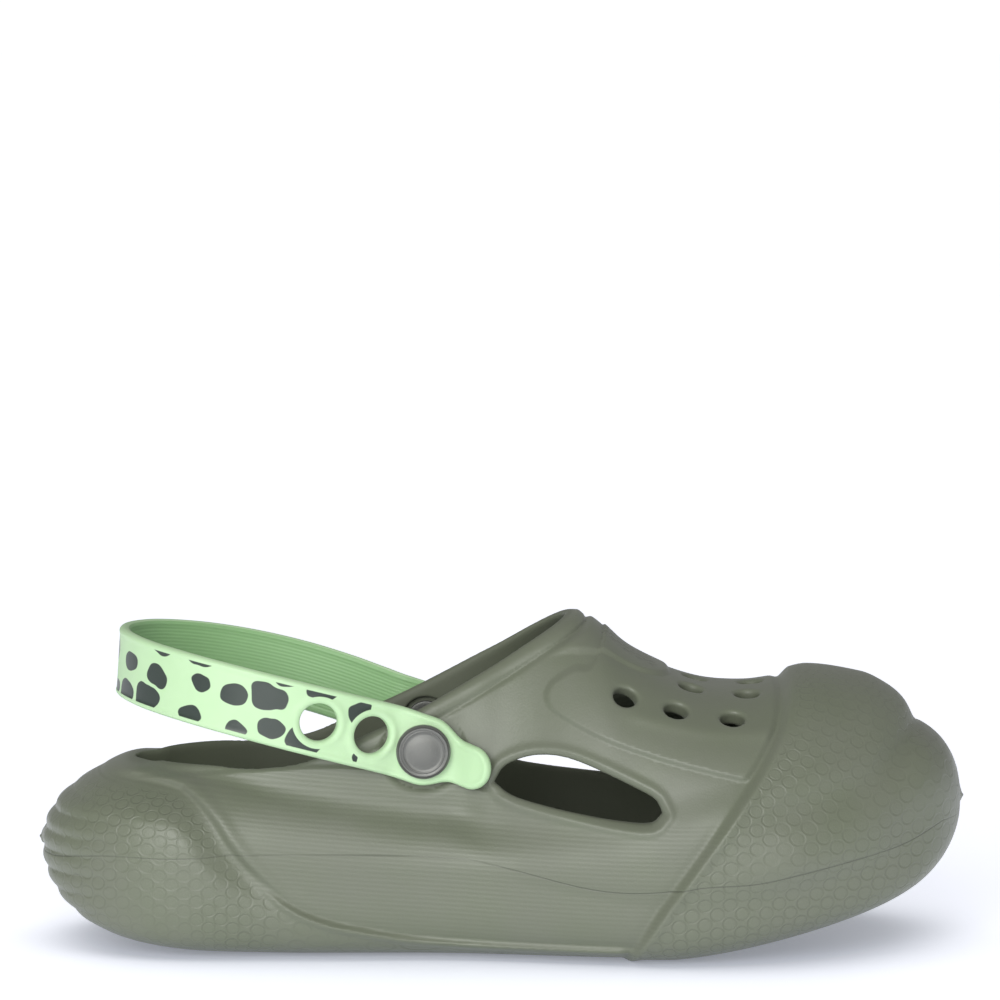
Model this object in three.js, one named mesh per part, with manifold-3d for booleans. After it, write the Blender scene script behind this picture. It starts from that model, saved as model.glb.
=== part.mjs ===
// A child's right-foot garden clog, moulded in one piece of foam, with a loose insole and a rubber
// heel strap that swings on two snap rivets. Millimetres: +X to the toe, +Y to the inner side of
// the foot, +Z up, with the origin on the ground under the middle of the clog.
import * as THREE from "three";
import { ParametricGeometry } from "three/addons/geometries/ParametricGeometry.js";
import { mergeVertices } from "three/addons/utils/BufferGeometryUtils.js";
import Module from "manifold-3d";

// Outer size of the foam.
const LENGTH = 240;
const HEEL_WIDTH = 74;
const WAIST_WIDTH = 73;
const BALL_WIDTH = 95;
const TOE_SWING = 5; // how far the toe's tip leans to the inner side
const RIM_HEIGHT = 49.5; // top of the foam behind the heel
const HEEL_TIP_HEIGHT = 27;
const TOE_TIP_HEIGHT = 37;
const BUMPER_HEIGHT = 56.5; // top of the toe bumper
const HEEL_ROCKER = 5;
const TOE_SPRING = 19;
const TONGUE_HEIGHT = 87;
const VAMP_HEIGHT = 66.5;
const DOME_HEIGHT = 70;
const CAP_RAISE = 2; // the toe and heel caps stand this far proud
const LEDGE_HEIGHT = 4.6; // edge of the sole between the caps

// Walls and hollow.
const WALL = 3.6;
const INSTEP_WIDTH = 54.6; // outside of the walls that hold the rivets
const HEEL_WALL = 24.5;
const TOE_WALL = 19;
const HEEL_BED = 19; // thickness of the foam under the heel
const BALL_BED = 13.5;
const INSOLE_THICKNESS = 4;
const INSOLE_FIT = 0.4;

// Vent holes on top of the foot, in rows from the toe to the tongue.
const VENT_RADIUS = 3.1;
const VENT_PITCH = 14;
const VENT_COLUMNS = 5;
const VENT_SWEEP = 5.6; // how far the outer holes sit behind the middle ones

// Heel strap.
const STRAP_WIDTH = 18.2;
const STRAP_BACK_WIDTH = 17.8; // behind the heel, where the band is narrowest
const STRAP_THICKNESS = 2.5;
const STRAP_REACH = 78.5; // from the rivets to the back of the loop
const STRAP_BOW = 36; // half the width of the loop at its widest
const STRAP_RISE = 19.7; // height of the back of the loop over the rivets
const TAB_WIDTH = 11.4;
const TAB_LENGTH = 19.2; // from the rivet to the tip of the pull tab
const HOLE_RADIUS = 4.85;
const HOLE_PITCH = 14.6;
const SPARE_HOLES = 2; // on the outer side only

// Snap rivets: a capped stud outside, a socket disc in a recess inside.
const RIVET_AT = 0.4167; // share of the length, from the heel
const RIVET_BELOW_TONGUE = 33;
const CAP_RADIUS = 7;
const CAP_THICKNESS = 2.3;
const POST_RADIUS = 2.5;
const SOCKET_RADIUS = 5.1;
const SOCKET_THICKNESS = 1.5;
const SOCKET_ROOM = 1.2; // between the disc's edge and its recess
const GAP = 0.35; // running clearance between separate pieces

const wasm = await Module();
wasm.setup();

// ---------------------------------------------------------------- curves and profiles

const at = (share) => (share - 0.5) * LENGTH;
const smooth = (t) => {
  const c = Math.min(1, Math.max(0, t));
  return c * c * (3 - 2 * c);
};

// A smooth curve through the points: Hermite spans whose slopes are those of the neighbours.
function profile(points) {
  const slopes = points.map((_, i) => {
    const [a, b] = [points[Math.max(0, i - 1)], points[Math.min(points.length - 1, i + 1)]];
    return (b[1] - a[1]) / (b[0] - a[0]);
  });
  return (x) => {
    let i = 0;
    while (i < points.length - 2 && x > points[i + 1][0]) i++;
    const [[x0, y0], [x1, y1]] = [points[i], points[i + 1]];
    const w = x1 - x0;
    const t = Math.min(1, Math.max(0, (x - x0) / w));
    const [a, b] = [1 - t, t];
    return (
      y0 * a * a * (1 + 2 * b) + y1 * b * b * (1 + 2 * a) + w * a * b * (slopes[i] * a - slopes[i + 1] * b)
    );
  };
}

// A rounded end: 0 at the tip, 1 once r falls to 0, on a superellipse of that power.
const roundEnd = (r, power) => (1 - Math.min(1, Math.max(0, r)) ** power) ** (1 / power);

// ---------------------------------------------------------------- shape of the foam

const HEEL_FULL = 0.2; // shares of the length where the plan is widest or narrowest
const WAIST_FULL = 0.4;
const BALL_FULL = 0.7;

function soleHalfWidth(s) {
  if (s < HEEL_FULL) return (HEEL_WIDTH / 2) * roundEnd(1 - s / HEEL_FULL, 2.3);
  if (s > BALL_FULL) return (BALL_WIDTH / 2) * roundEnd((s - BALL_FULL) / (1 - BALL_FULL), 2.3);
  const [from, to, a, b] =
    s < WAIST_FULL
      ? [HEEL_WIDTH, WAIST_WIDTH, HEEL_FULL, WAIST_FULL]
      : [WAIST_WIDTH, BALL_WIDTH, WAIST_FULL, BALL_FULL];
  return (from + (to - from) * smooth((s - a) / (b - a))) / 2;
}

const centreLine = (s) => TOE_SWING * smooth((s - BALL_FULL) / (1 - BALL_FULL));

const ROCKER_FROM = 0.3;
const SPRING_FROM = 0.68;
function soleBottom(s) {
  if (s < ROCKER_FROM) {
    const r = 1 - s / ROCKER_FROM;
    return HEEL_ROCKER * r ** 2 + (HEEL_TIP_HEIGHT - HEEL_ROCKER) * (1 - roundEnd(r ** 2.5, 2));
  }
  if (s > SPRING_FROM) {
    const r = (s - SPRING_FROM) / (1 - SPRING_FROM);
    return TOE_SPRING * r ** 1.4 + (TOE_TIP_HEIGHT - TOE_SPRING) * (1 - roundEnd(r ** 4, 2));
  }
  return 0;
}

const HEEL_CROWN = 0.11;
const TOE_CROWN = 0.945;
const shoulder = profile([
  [HEEL_CROWN, RIM_HEIGHT],
  [0.21, RIM_HEIGHT - 0.3],
  [0.33, RIM_HEIGHT - 2],
  [0.42, RIM_HEIGHT - 5.5],
  [0.5, RIM_HEIGHT - 9],
  [0.6, RIM_HEIGHT - 8],
  [0.72, RIM_HEIGHT - 5],
  [0.85, BUMPER_HEIGHT - 6],
  [TOE_CROWN, BUMPER_HEIGHT],
]);
function soleTop(s) {
  const tips = [HEEL_TIP_HEIGHT, TOE_TIP_HEIGHT];
  if (s < HEEL_CROWN) return tips[0] + (RIM_HEIGHT - tips[0]) * roundEnd(1 - s / HEEL_CROWN, 1.52);
  if (s < TOE_CROWN) return shoulder(s);
  return tips[1] + (BUMPER_HEIGHT - tips[1]) * roundEnd((s - TOE_CROWN) / (1 - TOE_CROWN), 1.65);
}

const WIDEST = 23; // height at which the sole is widest, between its rounded ends
function soleWaist(s) {
  const t = s < 0.5 ? s / HEEL_CROWN : (1 - s) / (1 - TOE_CROWN);
  const tip = s < 0.5 ? HEEL_TIP_HEIGHT : TOE_TIP_HEIGHT;
  const lift = s > 0.5 ? (TOE_SPRING / 2) * smooth((s - 0.6) / 0.4) : 0;
  return tip + (WIDEST + lift - tip) * smooth(t);
}
const soleUpperPower = profile([
  [0, 2.2],
  [0.2, 2.8],
  [0.32, 2.4],
  [0.42, 2.2],
  [0.6, 2.6],
  [0.72, 4],
  [0.88, 4],
  [1, 2.4],
]);

// The upper is an arch over the foot. Behind the tongue it stands taller than the rim that cuts it.
const upperTop = profile([
  [0.1, RIM_HEIGHT - 11],
  [0.13, RIM_HEIGHT + 4],
  [0.16, RIM_HEIGHT + 15],
  [0.1875, RIM_HEIGHT + 21],
  [0.25, RIM_HEIGHT + 26],
  [0.3, TONGUE_HEIGHT - 9],
  [0.358, TONGUE_HEIGHT - 1],
  [0.4167, TONGUE_HEIGHT + 7],
  [0.49, TONGUE_HEIGHT + 9],
  [0.53, TONGUE_HEIGHT + 6.5],
  [0.577, TONGUE_HEIGHT],
  [0.604, TONGUE_HEIGHT - 4.4],
  [0.633, TONGUE_HEIGHT - 10.9],
  [0.6625, VAMP_HEIGHT + 5.4],
  [0.692, VAMP_HEIGHT + 2.4],
  [0.725, VAMP_HEIGHT + 0.4],
  [0.767, VAMP_HEIGHT],
  [0.8, VAMP_HEIGHT + 1.2],
  [0.833, DOME_HEIGHT - 0.4],
  [0.892, DOME_HEIGHT - 2.5],
  [0.9125, DOME_HEIGHT - 4.6],
  [0.935, DOME_HEIGHT - 8.5],
  [0.956, DOME_HEIGHT - 15],
  [0.97, DOME_HEIGHT - 22],
]);
const upperHalfWidth = profile([
  [0.1, INSTEP_WIDTH / 2 - 11],
  [0.143, INSTEP_WIDTH / 2 - 6],
  [0.1875, INSTEP_WIDTH / 2 - 3],
  [0.25, INSTEP_WIDTH / 2],
  [0.333, INSTEP_WIDTH / 2 + 0.4],
  [0.4167, INSTEP_WIDTH / 2],
  [0.455, INSTEP_WIDTH / 2 + 0.7],
  [0.49, INSTEP_WIDTH / 2 + 4.3],
  [0.53, BALL_WIDTH / 2 - 12],
  [0.577, BALL_WIDTH / 2 - 9],
  [0.633, BALL_WIDTH / 2 - 6.5],
  [0.708, BALL_WIDTH / 2 - 4.2],
  [0.767, BALL_WIDTH / 2 - 3.4],
  [0.817, BALL_WIDTH / 2 - 4.2],
  [0.875, BALL_WIDTH / 2 - 9],
  [0.917, BALL_WIDTH / 2 - 15.5],
  [0.95, BALL_WIDTH / 2 - 26],
  [0.97, BALL_WIDTH / 2 - 38],
]);
const upperPower = profile([
  [0.1, 2.4],
  [0.36, 2.6],
  [0.42, 2.6],
  [0.49, 1.7],
  [0.53, 1.6],
  [0.577, 1.9],
  [0.633, 2.3],
  [0.7, 2.5],
  [0.77, 2.4],
  [0.833, 2.2],
  [0.97, 2.1],
]);
const UPPER_FROM = 0.1;
const UPPER_TO = 0.97;

// The rim climbs from the heel to the tip of the tongue.
const RIM_TO = 0.579;
const rim = profile([
  [0.1, RIM_HEIGHT - 0.8],
  [0.15, RIM_HEIGHT - 0.7],
  [0.2, RIM_HEIGHT - 0.2],
  [0.25, RIM_HEIGHT + 0.6],
  [0.3, RIM_HEIGHT + 3],
  [0.358, RIM_HEIGHT + 8.3],
  [0.4125, TONGUE_HEIGHT - 23],
  [0.49, TONGUE_HEIGHT - 12.4],
  [0.53, TONGUE_HEIGHT - 6.5],
  [RIM_TO, TONGUE_HEIGHT + 0.4],
]);

// Side-view lines where the caps begin: the toe cap ahead of one, the heel cap and ledge under the other.
const toeCrease = (z) => at(0.6417) + 0.6 * z - 0.0007 * z * z;
const heelCrease = profile([
  [at(0.09), RIM_HEIGHT + 4],
  [at(0.117), RIM_HEIGHT - 2.5],
  [at(0.1625), RIM_HEIGHT - 5.2],
  [at(0.2), RIM_HEIGHT - 12.6],
  [at(0.225), RIM_HEIGHT - 21.7],
  [at(0.248), RIM_HEIGHT - 31],
  [at(0.281), LEDGE_HEIGHT + 8.4],
  [at(0.325), LEDGE_HEIGHT + 4.4],
  [at(0.396), LEDGE_HEIGHT + 1.4],
  [at(0.5), LEDGE_HEIGHT + 0.2],
  [at(0.65), LEDGE_HEIGHT],
]);
function relief(x, z) {
  const step = 3.5; // width over which a cap rises
  const toe = smooth((x - toeCrease(z)) / step);
  const heel = smooth((heelCrease(x) - z) / (step * 1.2));
  return CAP_RAISE * Math.max(toe, x < at(0.66) ? heel : 0);
}

// ---------------------------------------------------------------- solids

// A closed three.js geometry as a manifold solid, turned right side out.
function solid(geometry) {
  const bare = geometry.clone();
  bare.deleteAttribute("normal");
  bare.deleteAttribute("uv");
  const merged = mergeVertices(bare, 1e-3);
  const source = merged.index.array;
  const faces = [];
  for (let i = 0; i < source.length; i += 3) {
    const [a, b, c] = [source[i], source[i + 1], source[i + 2]];
    if (a !== b && b !== c && c !== a) faces.push(a, b, c);
  }
  const build = (triangles) =>
    new wasm.Manifold(
      new wasm.Mesh({
        numProp: 3,
        vertProperties: merged.attributes.position.array,
        triVerts: new Uint32Array(triangles),
      }),
    );
  const made = build(faces);
  if (made.volume() > 0) return made;
  return build(faces.map((_, i) => faces[i - (i % 3) + [0, 2, 1][i % 3]]));
}

// A solid as a mesh of its own colour, ready to be named and added to the clog.
function mesh(name, body, material) {
  const made = body.getMesh();
  const geometry = new THREE.BufferGeometry();
  geometry.setAttribute("position", new THREE.BufferAttribute(Float32Array.from(made.vertProperties), 3));
  geometry.setIndex(new THREE.BufferAttribute(made.triVerts, 1));
  geometry.computeVertexNormals();
  const piece = new THREE.Mesh(geometry, material);
  piece.name = name;
  return piece;
}

// A closed tube along the clog. Its skin gives the place in a section at an angle round from +Y.
function loft(from, to, skin, lengthSteps, roundSteps) {
  return solid(
    new ParametricGeometry(
      (u, v, target) => {
        const s = from + ((to - from) * (1 - Math.cos(Math.PI * u))) / 2;
        const [y, z] = skin(s, 2 * Math.PI * (v % 1), u === 0 || u === 1);
        target.set(at(s), centreLine(s) + y, z);
      },
      lengthSteps,
      roundSteps,
    ),
  );
}

// A shape drawn in side view, as wide as asked, for cutting through from one side to the other.
function sidePrism(points, halfWidth) {
  const shape = new THREE.Shape(points.map(([x, z]) => new THREE.Vector2(x, z)));
  const geometry = new THREE.ExtrudeGeometry(shape, { depth: 2 * halfWidth, bevelEnabled: false });
  geometry.rotateX(Math.PI / 2);
  geometry.translate(0, halfWidth, 0);
  return solid(geometry);
}

// A rod from one point to another.
function rod(start, end, radius, sides) {
  const along = end.clone().sub(start);
  const geometry = new THREE.CylinderGeometry(radius, radius, along.length(), sides);
  const turn = new THREE.Quaternion().setFromUnitVectors(new THREE.Vector3(0, 1, 0), along.clone().normalize());
  geometry.applyQuaternion(turn);
  geometry.translate(...start.clone().add(end).multiplyScalar(0.5).toArray());
  return solid(geometry);
}

const sampled = (from, to, count, point) =>
  Array.from({ length: count + 1 }, (_, i) => point(from + ((to - from) * i) / count));

// ---------------------------------------------------------------- the foam body

// How far a superelliptic section reaches in a direction across and up.
function reach(across, up, halfWidth, height, power) {
  return (Math.abs(across / halfWidth) ** power + Math.abs(up / height) ** power) ** (-1 / power);
}

// The larger of two numbers, rounded off where they are about equal.
function softMax(a, b, blend) {
  const near = Math.max(0, 1 - Math.abs(a - b) / blend);
  return Math.max(a, b) + (near * near * blend) / 4;
}

// The outside of the foam: the sole and the arch over the foot, joined by a fillet.
const SOLE_CORNER = 5; // power of the sole's lower corners
const fillet = profile([[0.1, 2], [0.4, 3], [0.55, 5], [0.7, 8], [0.85, 8], [0.95, 3]]);
function outside(s, angle, tip) {
  const middle = soleWaist(s);
  if (tip) return [0, middle];
  const halfWidth = soleHalfWidth(s) - CAP_RAISE - fillet(s) / 8;
  const under = angle > Math.PI;
  const height = under ? middle - soleBottom(s) : soleTop(s) - middle;
  const place = new THREE.Vector2(halfWidth * Math.cos(angle), height * Math.sin(angle)).normalize();
  const power = under ? SOLE_CORNER : soleUpperPower(s);
  let radius = reach(place.x, place.y, halfWidth, height, power);
  if (s > UPPER_FROM && s < UPPER_TO) {
    const rise = under ? height / 2 : upperTop(s) - middle;
    radius = softMax(radius, reach(place.x, place.y, upperHalfWidth(s), rise, upperPower(s)), fillet(s));
  }
  const lift = relief(at(s), middle + place.y * radius);
  return [place.x * (radius + lift), middle + place.y * (radius + Math.max(0, place.y) * lift * toeShare(s))];
}
const toeShare = (s) => smooth((s - 0.6) / 0.1);

const HOLLOW_FROM = HEEL_WALL / LENGTH;
const HOLLOW_TO = 1 - TOE_WALL / LENGTH;
const HEEL_ROUND = 0.15; // shares of the length over which the hollow's ends are rounded
const TOE_ROUND = 0.175;
const footbed = profile([
  [HOLLOW_FROM, HEEL_BED + 1.5],
  [0.25, HEEL_BED],
  [0.45, HEEL_BED + 1],
  [0.68, BALL_BED],
  [0.8, BALL_BED + 2.5],
  [HOLLOW_TO, BALL_BED + 8.5],
]);
const heelRound = (s) => roundEnd(1 - (s - HOLLOW_FROM) / HEEL_ROUND, 2.3);
const toeRound = (s) => roundEnd(1 - (HOLLOW_TO - s) / TOE_ROUND, 2.2);
const hollowHalfWidth = (s) =>
  Math.min(upperHalfWidth(s) - WALL, soleHalfWidth(s) - 2 * WALL) * heelRound(s) * toeRound(s);
function hollowTop(s) {
  const overRim = s < RIM_TO / 2 ? rim(s) + WALL : 0;
  const underArch = Math.max(upperTop(s) - WALL, overRim);
  return (underArch - WALL * (1 - toeRound(s))) * toeRound(s) ** 0.4;
}

// The hollow that the foot goes in, or the same space taken in by a clearance on every side.
const HOLLOW_MIDDLE = 28;
function footHollow(clearance = 0) {
  const skin = (s, angle, tip) => {
    if (tip) return [0, HOLLOW_MIDDLE];
    const bed = footbed(s) + clearance;
    const bottom = bed + (HOLLOW_MIDDLE - 2 - bed) * (1 - heelRound(s) * toeRound(s)) ** 2;
    const top = Math.max(HOLLOW_MIDDLE + 2, hollowTop(s));
    const halfWidth = Math.max(0.5, hollowHalfWidth(s) - clearance);
    const height = angle > Math.PI ? HOLLOW_MIDDLE - bottom : top - HOLLOW_MIDDLE;
    const power = angle > Math.PI ? 4 : upperPower(s) + 2 * smooth((0.37 - s) / 0.12);
    const [across, up] = [Math.cos(angle), Math.sin(angle)];
    const round = (share) => Math.sign(share) * Math.abs(share) ** (2 / power);
    return [halfWidth * round(across), HOLLOW_MIDDLE + height * round(up)];
  };
  return loft(HOLLOW_FROM, HOLLOW_TO, skin, 36, 28);
}

// Everything over the rim line.
const aboveRim = () =>
  sidePrism(
    [
      ...sampled(UPPER_FROM, RIM_TO, 24, (s) => [at(s), rim(s)]),
      [at(RIM_TO) + 0.5, TONGUE_HEIGHT + 40],
      [at(UPPER_FROM), TONGUE_HEIGHT + 40],
    ],
    BALL_WIDTH,
  );

// The almond window in each side of the upper, in side view.
const WINDOW_LENGTH = 43;
const WINDOW_HEIGHT = 14.6;
const WINDOW_DROP = 4.6; // fall of its long axis from the back to the front
const WINDOW_AT = 0.582; // share of the length
const WINDOW_CENTRE_HEIGHT = 43.5;
function windowOutline() {
  const upper = profile([
    [-0.5, 0],
    [-0.46, 0.23],
    [-0.4, 0.38],
    [-0.28, 0.54],
    [-0.15, 0.61],
    [-0.05, 0.6],
    [0.1, 0.5],
    [0.35, 0.25],
    [0.46, 0.1],
    [0.5, -0.1],
  ]);
  const lower = profile([
    [-0.5, 0],
    [-0.41, -0.17],
    [-0.2, -0.27],
    [0, -0.32],
    [0.25, -0.35],
    [0.44, -0.3],
    [0.5, -0.1],
  ]);
  const place = (t, h) => [
    at(WINDOW_AT) + t * WINDOW_LENGTH,
    WINDOW_CENTRE_HEIGHT - t * WINDOW_DROP + h * WINDOW_HEIGHT,
  ];
  const round = (a) => -Math.cos(a) / 2;
  return [
    ...sampled(0, Math.PI, 16, (a) => place(round(a), lower(round(a)))).slice(0, -1),
    ...sampled(Math.PI, 0, 16, (a) => place(round(a), upper(round(a)))).slice(0, -1),
  ];
}

// Height of the arch at a place in plan, and how far out its side is at a height.
function archHeight(x, y) {
  const s = x / LENGTH + 0.5;
  const across = Math.min(0.999, Math.abs(y - centreLine(s)) / upperHalfWidth(s));
  const power = upperPower(s);
  return soleWaist(s) + (upperTop(s) - soleWaist(s)) * (1 - across ** power) ** (1 / power);
}
function archSide(x, z) {
  const s = x / LENGTH + 0.5;
  const power = upperPower(s);
  const up = Math.max(0, (z - soleWaist(s)) / (upperTop(s) - soleWaist(s)));
  return upperHalfWidth(s) * (1 - up ** power) ** (1 / power);
}

const VENT_ROWS = [
  { share: 0.77, columns: [-2, -1, 0, 1, 2] },
  { share: 0.71, columns: [-2, -1, 0, 1, 2] },
  { share: 0.656, columns: [-2, 2] },
];
const VENT_CENTRE = 1.5; // the rows lie this far to the inner side
function ventHoles() {
  const last = (VENT_COLUMNS - 1) / 2;
  return VENT_ROWS.flatMap(({ share, columns }) =>
    columns.map((column) => {
      const y = VENT_CENTRE + column * VENT_PITCH;
      const x = at(share) - VENT_SWEEP * (column / last) ** 2;
      const step = 0.5;
      const normal = new THREE.Vector3(
        archHeight(x - step, y) - archHeight(x + step, y),
        archHeight(x, y - step) - archHeight(x, y + step),
        2 * step,
      ).normalize();
      const point = new THREE.Vector3(x, y, archHeight(x, y));
      const reach = 3 * WALL;
      return rod(
        point.clone().addScaledVector(normal, -reach),
        point.clone().addScaledVector(normal, reach),
        VENT_RADIUS,
        14,
      );
    }),
  );
}

// ---------------------------------------------------------------- rivets' line and strap

const rivetX = at(RIVET_AT);
const rivetZ = TONGUE_HEIGHT - RIVET_BELOW_TONGUE;
const wallOutside = archSide(rivetX, rivetZ);
const strapInside = wallOutside + 2 * GAP;
const strapMiddle = strapInside + STRAP_THICKNESS / 2;

// The middle of the strap from one pull tab round the heel to the other, by distance from the rivets:
// it bows out behind the instep, and its tabs turn out again to lie along the widening foam.
function strapLine() {
  const half = [
    [STRAP_REACH * -0.235, strapMiddle + 5.8],
    [STRAP_REACH * -0.17, strapMiddle + 3],
    [STRAP_REACH * -0.105, strapMiddle + 0.1],
    [0, strapMiddle],
    [STRAP_REACH * 0.09, strapMiddle + 0.1],
    [STRAP_REACH * 0.16, strapMiddle + 2.2],
    [STRAP_REACH * 0.27, STRAP_BOW - 2.4],
    [STRAP_REACH * 0.43, STRAP_BOW],
    [STRAP_REACH * 0.6, STRAP_BOW - 1.2],
    [STRAP_REACH * 0.76, STRAP_BOW * 0.83],
    [STRAP_REACH * 0.91, STRAP_BOW * 0.55],
    [STRAP_REACH * 0.985, STRAP_BOW * 0.23],
  ];
  const spot = ([back, side], sign) => {
    const t = back / STRAP_REACH;
    const rise = STRAP_RISE * (1.39 * t - 0.39 * t * Math.abs(t));
    return new THREE.Vector3(rivetX - back, sign * side, rivetZ + rise);
  };
  return new THREE.CatmullRomCurve3([
    ...half.map((p) => spot(p, -1)),
    spot([STRAP_REACH, 0], 1),
    ...half.map((p) => spot(p, 1)).reverse(),
  ]);
}

const STRAP_LEAN = 0.07; // the band's edges lean forward this much, top over bottom
function strapFrame(line, t) {
  const centre = line.getPointAt(t);
  const along = line.getTangentAt(t);
  const up = new THREE.Vector3(STRAP_LEAN, 0, 1);
  up.addScaledVector(along, -up.dot(along)).normalize();
  const out = new THREE.Vector3().crossVectors(up, along).normalize();
  return { centre, up, out };
}

// Half the height of the band at a distance from the rivet towards the tab's tip.
function bandHalfHeight(beyondRivet) {
  const narrowing = smooth(-beyondRivet / STRAP_REACH - 0.2);
  const end = (STRAP_WIDTH - (STRAP_WIDTH - STRAP_BACK_WIDTH) * narrowing) / 2;
  const tab = TAB_WIDTH / 2;
  const tabCentre = TAB_LENGTH - tab;
  const band = beyondRivet < 0 ? end : Math.sqrt(Math.max(0, end * end - beyondRivet * beyondRivet));
  const beyondTab = Math.max(0, beyondRivet - tabCentre);
  const tip = Math.sqrt(Math.max(0, tab * tab - beyondTab * beyondTab));
  return Math.max(band, beyondRivet < 0 ? 0 : tip);
}

function heelStrap() {
  const line = strapLine();
  const total = line.getLength();
  // The share of the curve at which it passes the first rivet, found by halving.
  let [low, high] = [0, 0.4];
  for (let i = 0; i < 40; i++) {
    const middle = (low + high) / 2;
    if (line.getPointAt(middle).x > rivetX) low = middle;
    else high = middle;
  }
  const first = low * total;
  const tip = Math.max(0, first - TAB_LENGTH);
  const corner = STRAP_THICKNESS * 0.3;
  const ring = [[-1, -1], [1, -1], [1, 1], [-1, 1]];
  const band = new ParametricGeometry(
    (u, v, target) => {
      // Steps lie closer together along the tabs, where the outline is round.
      const eased = u + Math.sin(4 * Math.PI * u) * -0.045 + Math.sin(2 * Math.PI * u) * -0.035;
      const distance = tip + (total - 2 * tip) * eased;
      const { centre, up, out } = strapFrame(line, distance / total);
      const beyond = Math.max(first - distance, distance - (total - first));
      const half = u === 0 || u === 1 ? 0 : bandHalfHeight(beyond);
      const side = Math.floor(((v % 1) * 8 + 1e-6) / 2);
      const late = Math.floor((v % 1) * 8 + 1e-6) % 2;
      const [a, b] = ring[side];
      const [next, previous] = [ring[(side + 1) % 4], ring[(side + 3) % 4]];
      const towards = late ? next : previous;
      const inset = Math.min(corner, half * 0.4);
      const height = a * half + ((towards[0] - a) / 2) * inset;
      const depth = (b * STRAP_THICKNESS) / 2 + ((towards[1] - b) / 2) * inset;
      const flat = u === 0 || u === 1 ? 0 : 1;
      target.copy(centre).addScaledVector(up, height * flat).addScaledVector(out, depth * flat);
    },
    84,
    8,
  );
  let strap = solid(band);
  for (const sign of [-1, 1]) {
    for (let i = 0; i <= (sign < 0 ? SPARE_HOLES : 0); i++) {
      const distance = first + i * HOLE_PITCH;
      const share = sign < 0 ? distance / total : 1 - distance / total;
      const { centre, out } = strapFrame(line, share);
      const through = i === 0 ? new THREE.Vector3(0, 1, 0) : out;
      const reach = 2 * STRAP_THICKNESS;
      strap = strap.subtract(
        rod(
          centre.clone().addScaledVector(through, -reach),
          centre.clone().addScaledVector(through, reach),
          HOLE_RADIUS,
          28,
        ),
      );
    }
  }
  return strap;
}

// Rivet parts turn about the rivets' line: x is the radius, y the distance out from the clog's middle.
const RIVET_SIDES = 24;
function turned(points, sign) {
  const geometry = new THREE.LatheGeometry(points.map(([r, y]) => new THREE.Vector2(r, y)), RIVET_SIDES);
  if (sign < 0) geometry.rotateX(Math.PI);
  geometry.translate(rivetX, 0, rivetZ);
  return solid(geometry);
}

const recessFloor = wallOutside - WALL + SOCKET_THICKNESS + 0.2;
const socketOuter = recessFloor - GAP;
const socketInner = socketOuter - SOCKET_THICKNESS;

function rivetStud(sign) {
  const capInner = strapInside + STRAP_THICKNESS + 1.3 * GAP;
  const crown = capInner + CAP_THICKNESS;
  const dome = 0.7;
  const shoulderRadius = HOLE_RADIUS - GAP;
  const postEnd = socketInner + 0.5;
  return turned(
    [
      [0, postEnd],
      [POST_RADIUS - 0.4, postEnd],
      [POST_RADIUS, postEnd + 0.4],
      [POST_RADIUS, wallOutside + GAP],
      [shoulderRadius, wallOutside + GAP],
      [shoulderRadius, capInner],
      [CAP_RADIUS - 0.3, capInner],
      [CAP_RADIUS, capInner + 0.4],
      [CAP_RADIUS, crown - dome - 0.6],
      [CAP_RADIUS - 0.5, crown - dome],
      [CAP_RADIUS * 0.8, crown - dome * 0.45],
      [CAP_RADIUS * 0.5, crown - dome * 0.1],
      [0, crown],
    ],
    sign,
  );
}

function rivetSocket(sign) {
  const bore = POST_RADIUS + GAP;
  return turned(
    [
      [bore, socketInner + 0.2],
      [SOCKET_RADIUS - 0.4, socketInner],
      [SOCKET_RADIUS, socketInner + 0.4],
      [SOCKET_RADIUS, socketOuter],
      [bore, socketOuter],
      [bore, socketInner + 0.2],
    ],
    sign,
  );
}

function clogBody() {
  let body = loft(0, 1, outside, 66, 44).subtract(aboveRim());
  body = body.subtract(footHollow()).subtract(sidePrism(windowOutline(), BALL_WIDTH));
  for (const hole of ventHoles()) body = body.subtract(hole);
  const across = (from, to, radius, sides) =>
    rod(new THREE.Vector3(rivetX, from, rivetZ), new THREE.Vector3(rivetX, to, rivetZ), radius, sides);
  body = body.subtract(across(-BALL_WIDTH, BALL_WIDTH, POST_RADIUS + GAP, 20));
  body = body.subtract(across(-recessFloor, recessFloor, SOCKET_RADIUS + SOCKET_ROOM, 28));
  // A flat seat outside each wall keeps the strap clear of the foam at the rivet.
  for (const sign of [-1, 1]) {
    body = body.subtract(across(sign * wallOutside, sign * BALL_WIDTH, STRAP_WIDTH / 2 + 3.2, 32));
  }
  const pieces = body.decompose().sort((a, b) => b.volume() - a.volume());
  return pieces[0];
}

function insole() {
  const top = (s) => footbed(s) + GAP + INSOLE_THICKNESS;
  const slab = sidePrism(
    [
      ...sampled(HOLLOW_FROM, HOLLOW_TO, 30, (s) => [at(s), top(s)]),
      [at(HOLLOW_TO), -1],
      [at(HOLLOW_FROM), -1],
    ],
    BALL_WIDTH,
  );
  const pieces = footHollow(INSOLE_FIT).intersect(slab).decompose().sort((a, b) => b.volume() - a.volume());
  return pieces[0];
}

// ---------------------------------------------------------------- the assembly

const olive = new THREE.MeshStandardMaterial({ color: 0x6b7059, roughness: 0.62, metalness: 0 });
const charcoal = new THREE.MeshStandardMaterial({ color: 0x2b2d2e, roughness: 0.85, metalness: 0 });
const mint = new THREE.MeshStandardMaterial({ color: 0xa9dc96, roughness: 0.55, metalness: 0 });
const taupe = new THREE.MeshStandardMaterial({ color: 0x7c7b74, roughness: 0.4, metalness: 0 });

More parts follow.
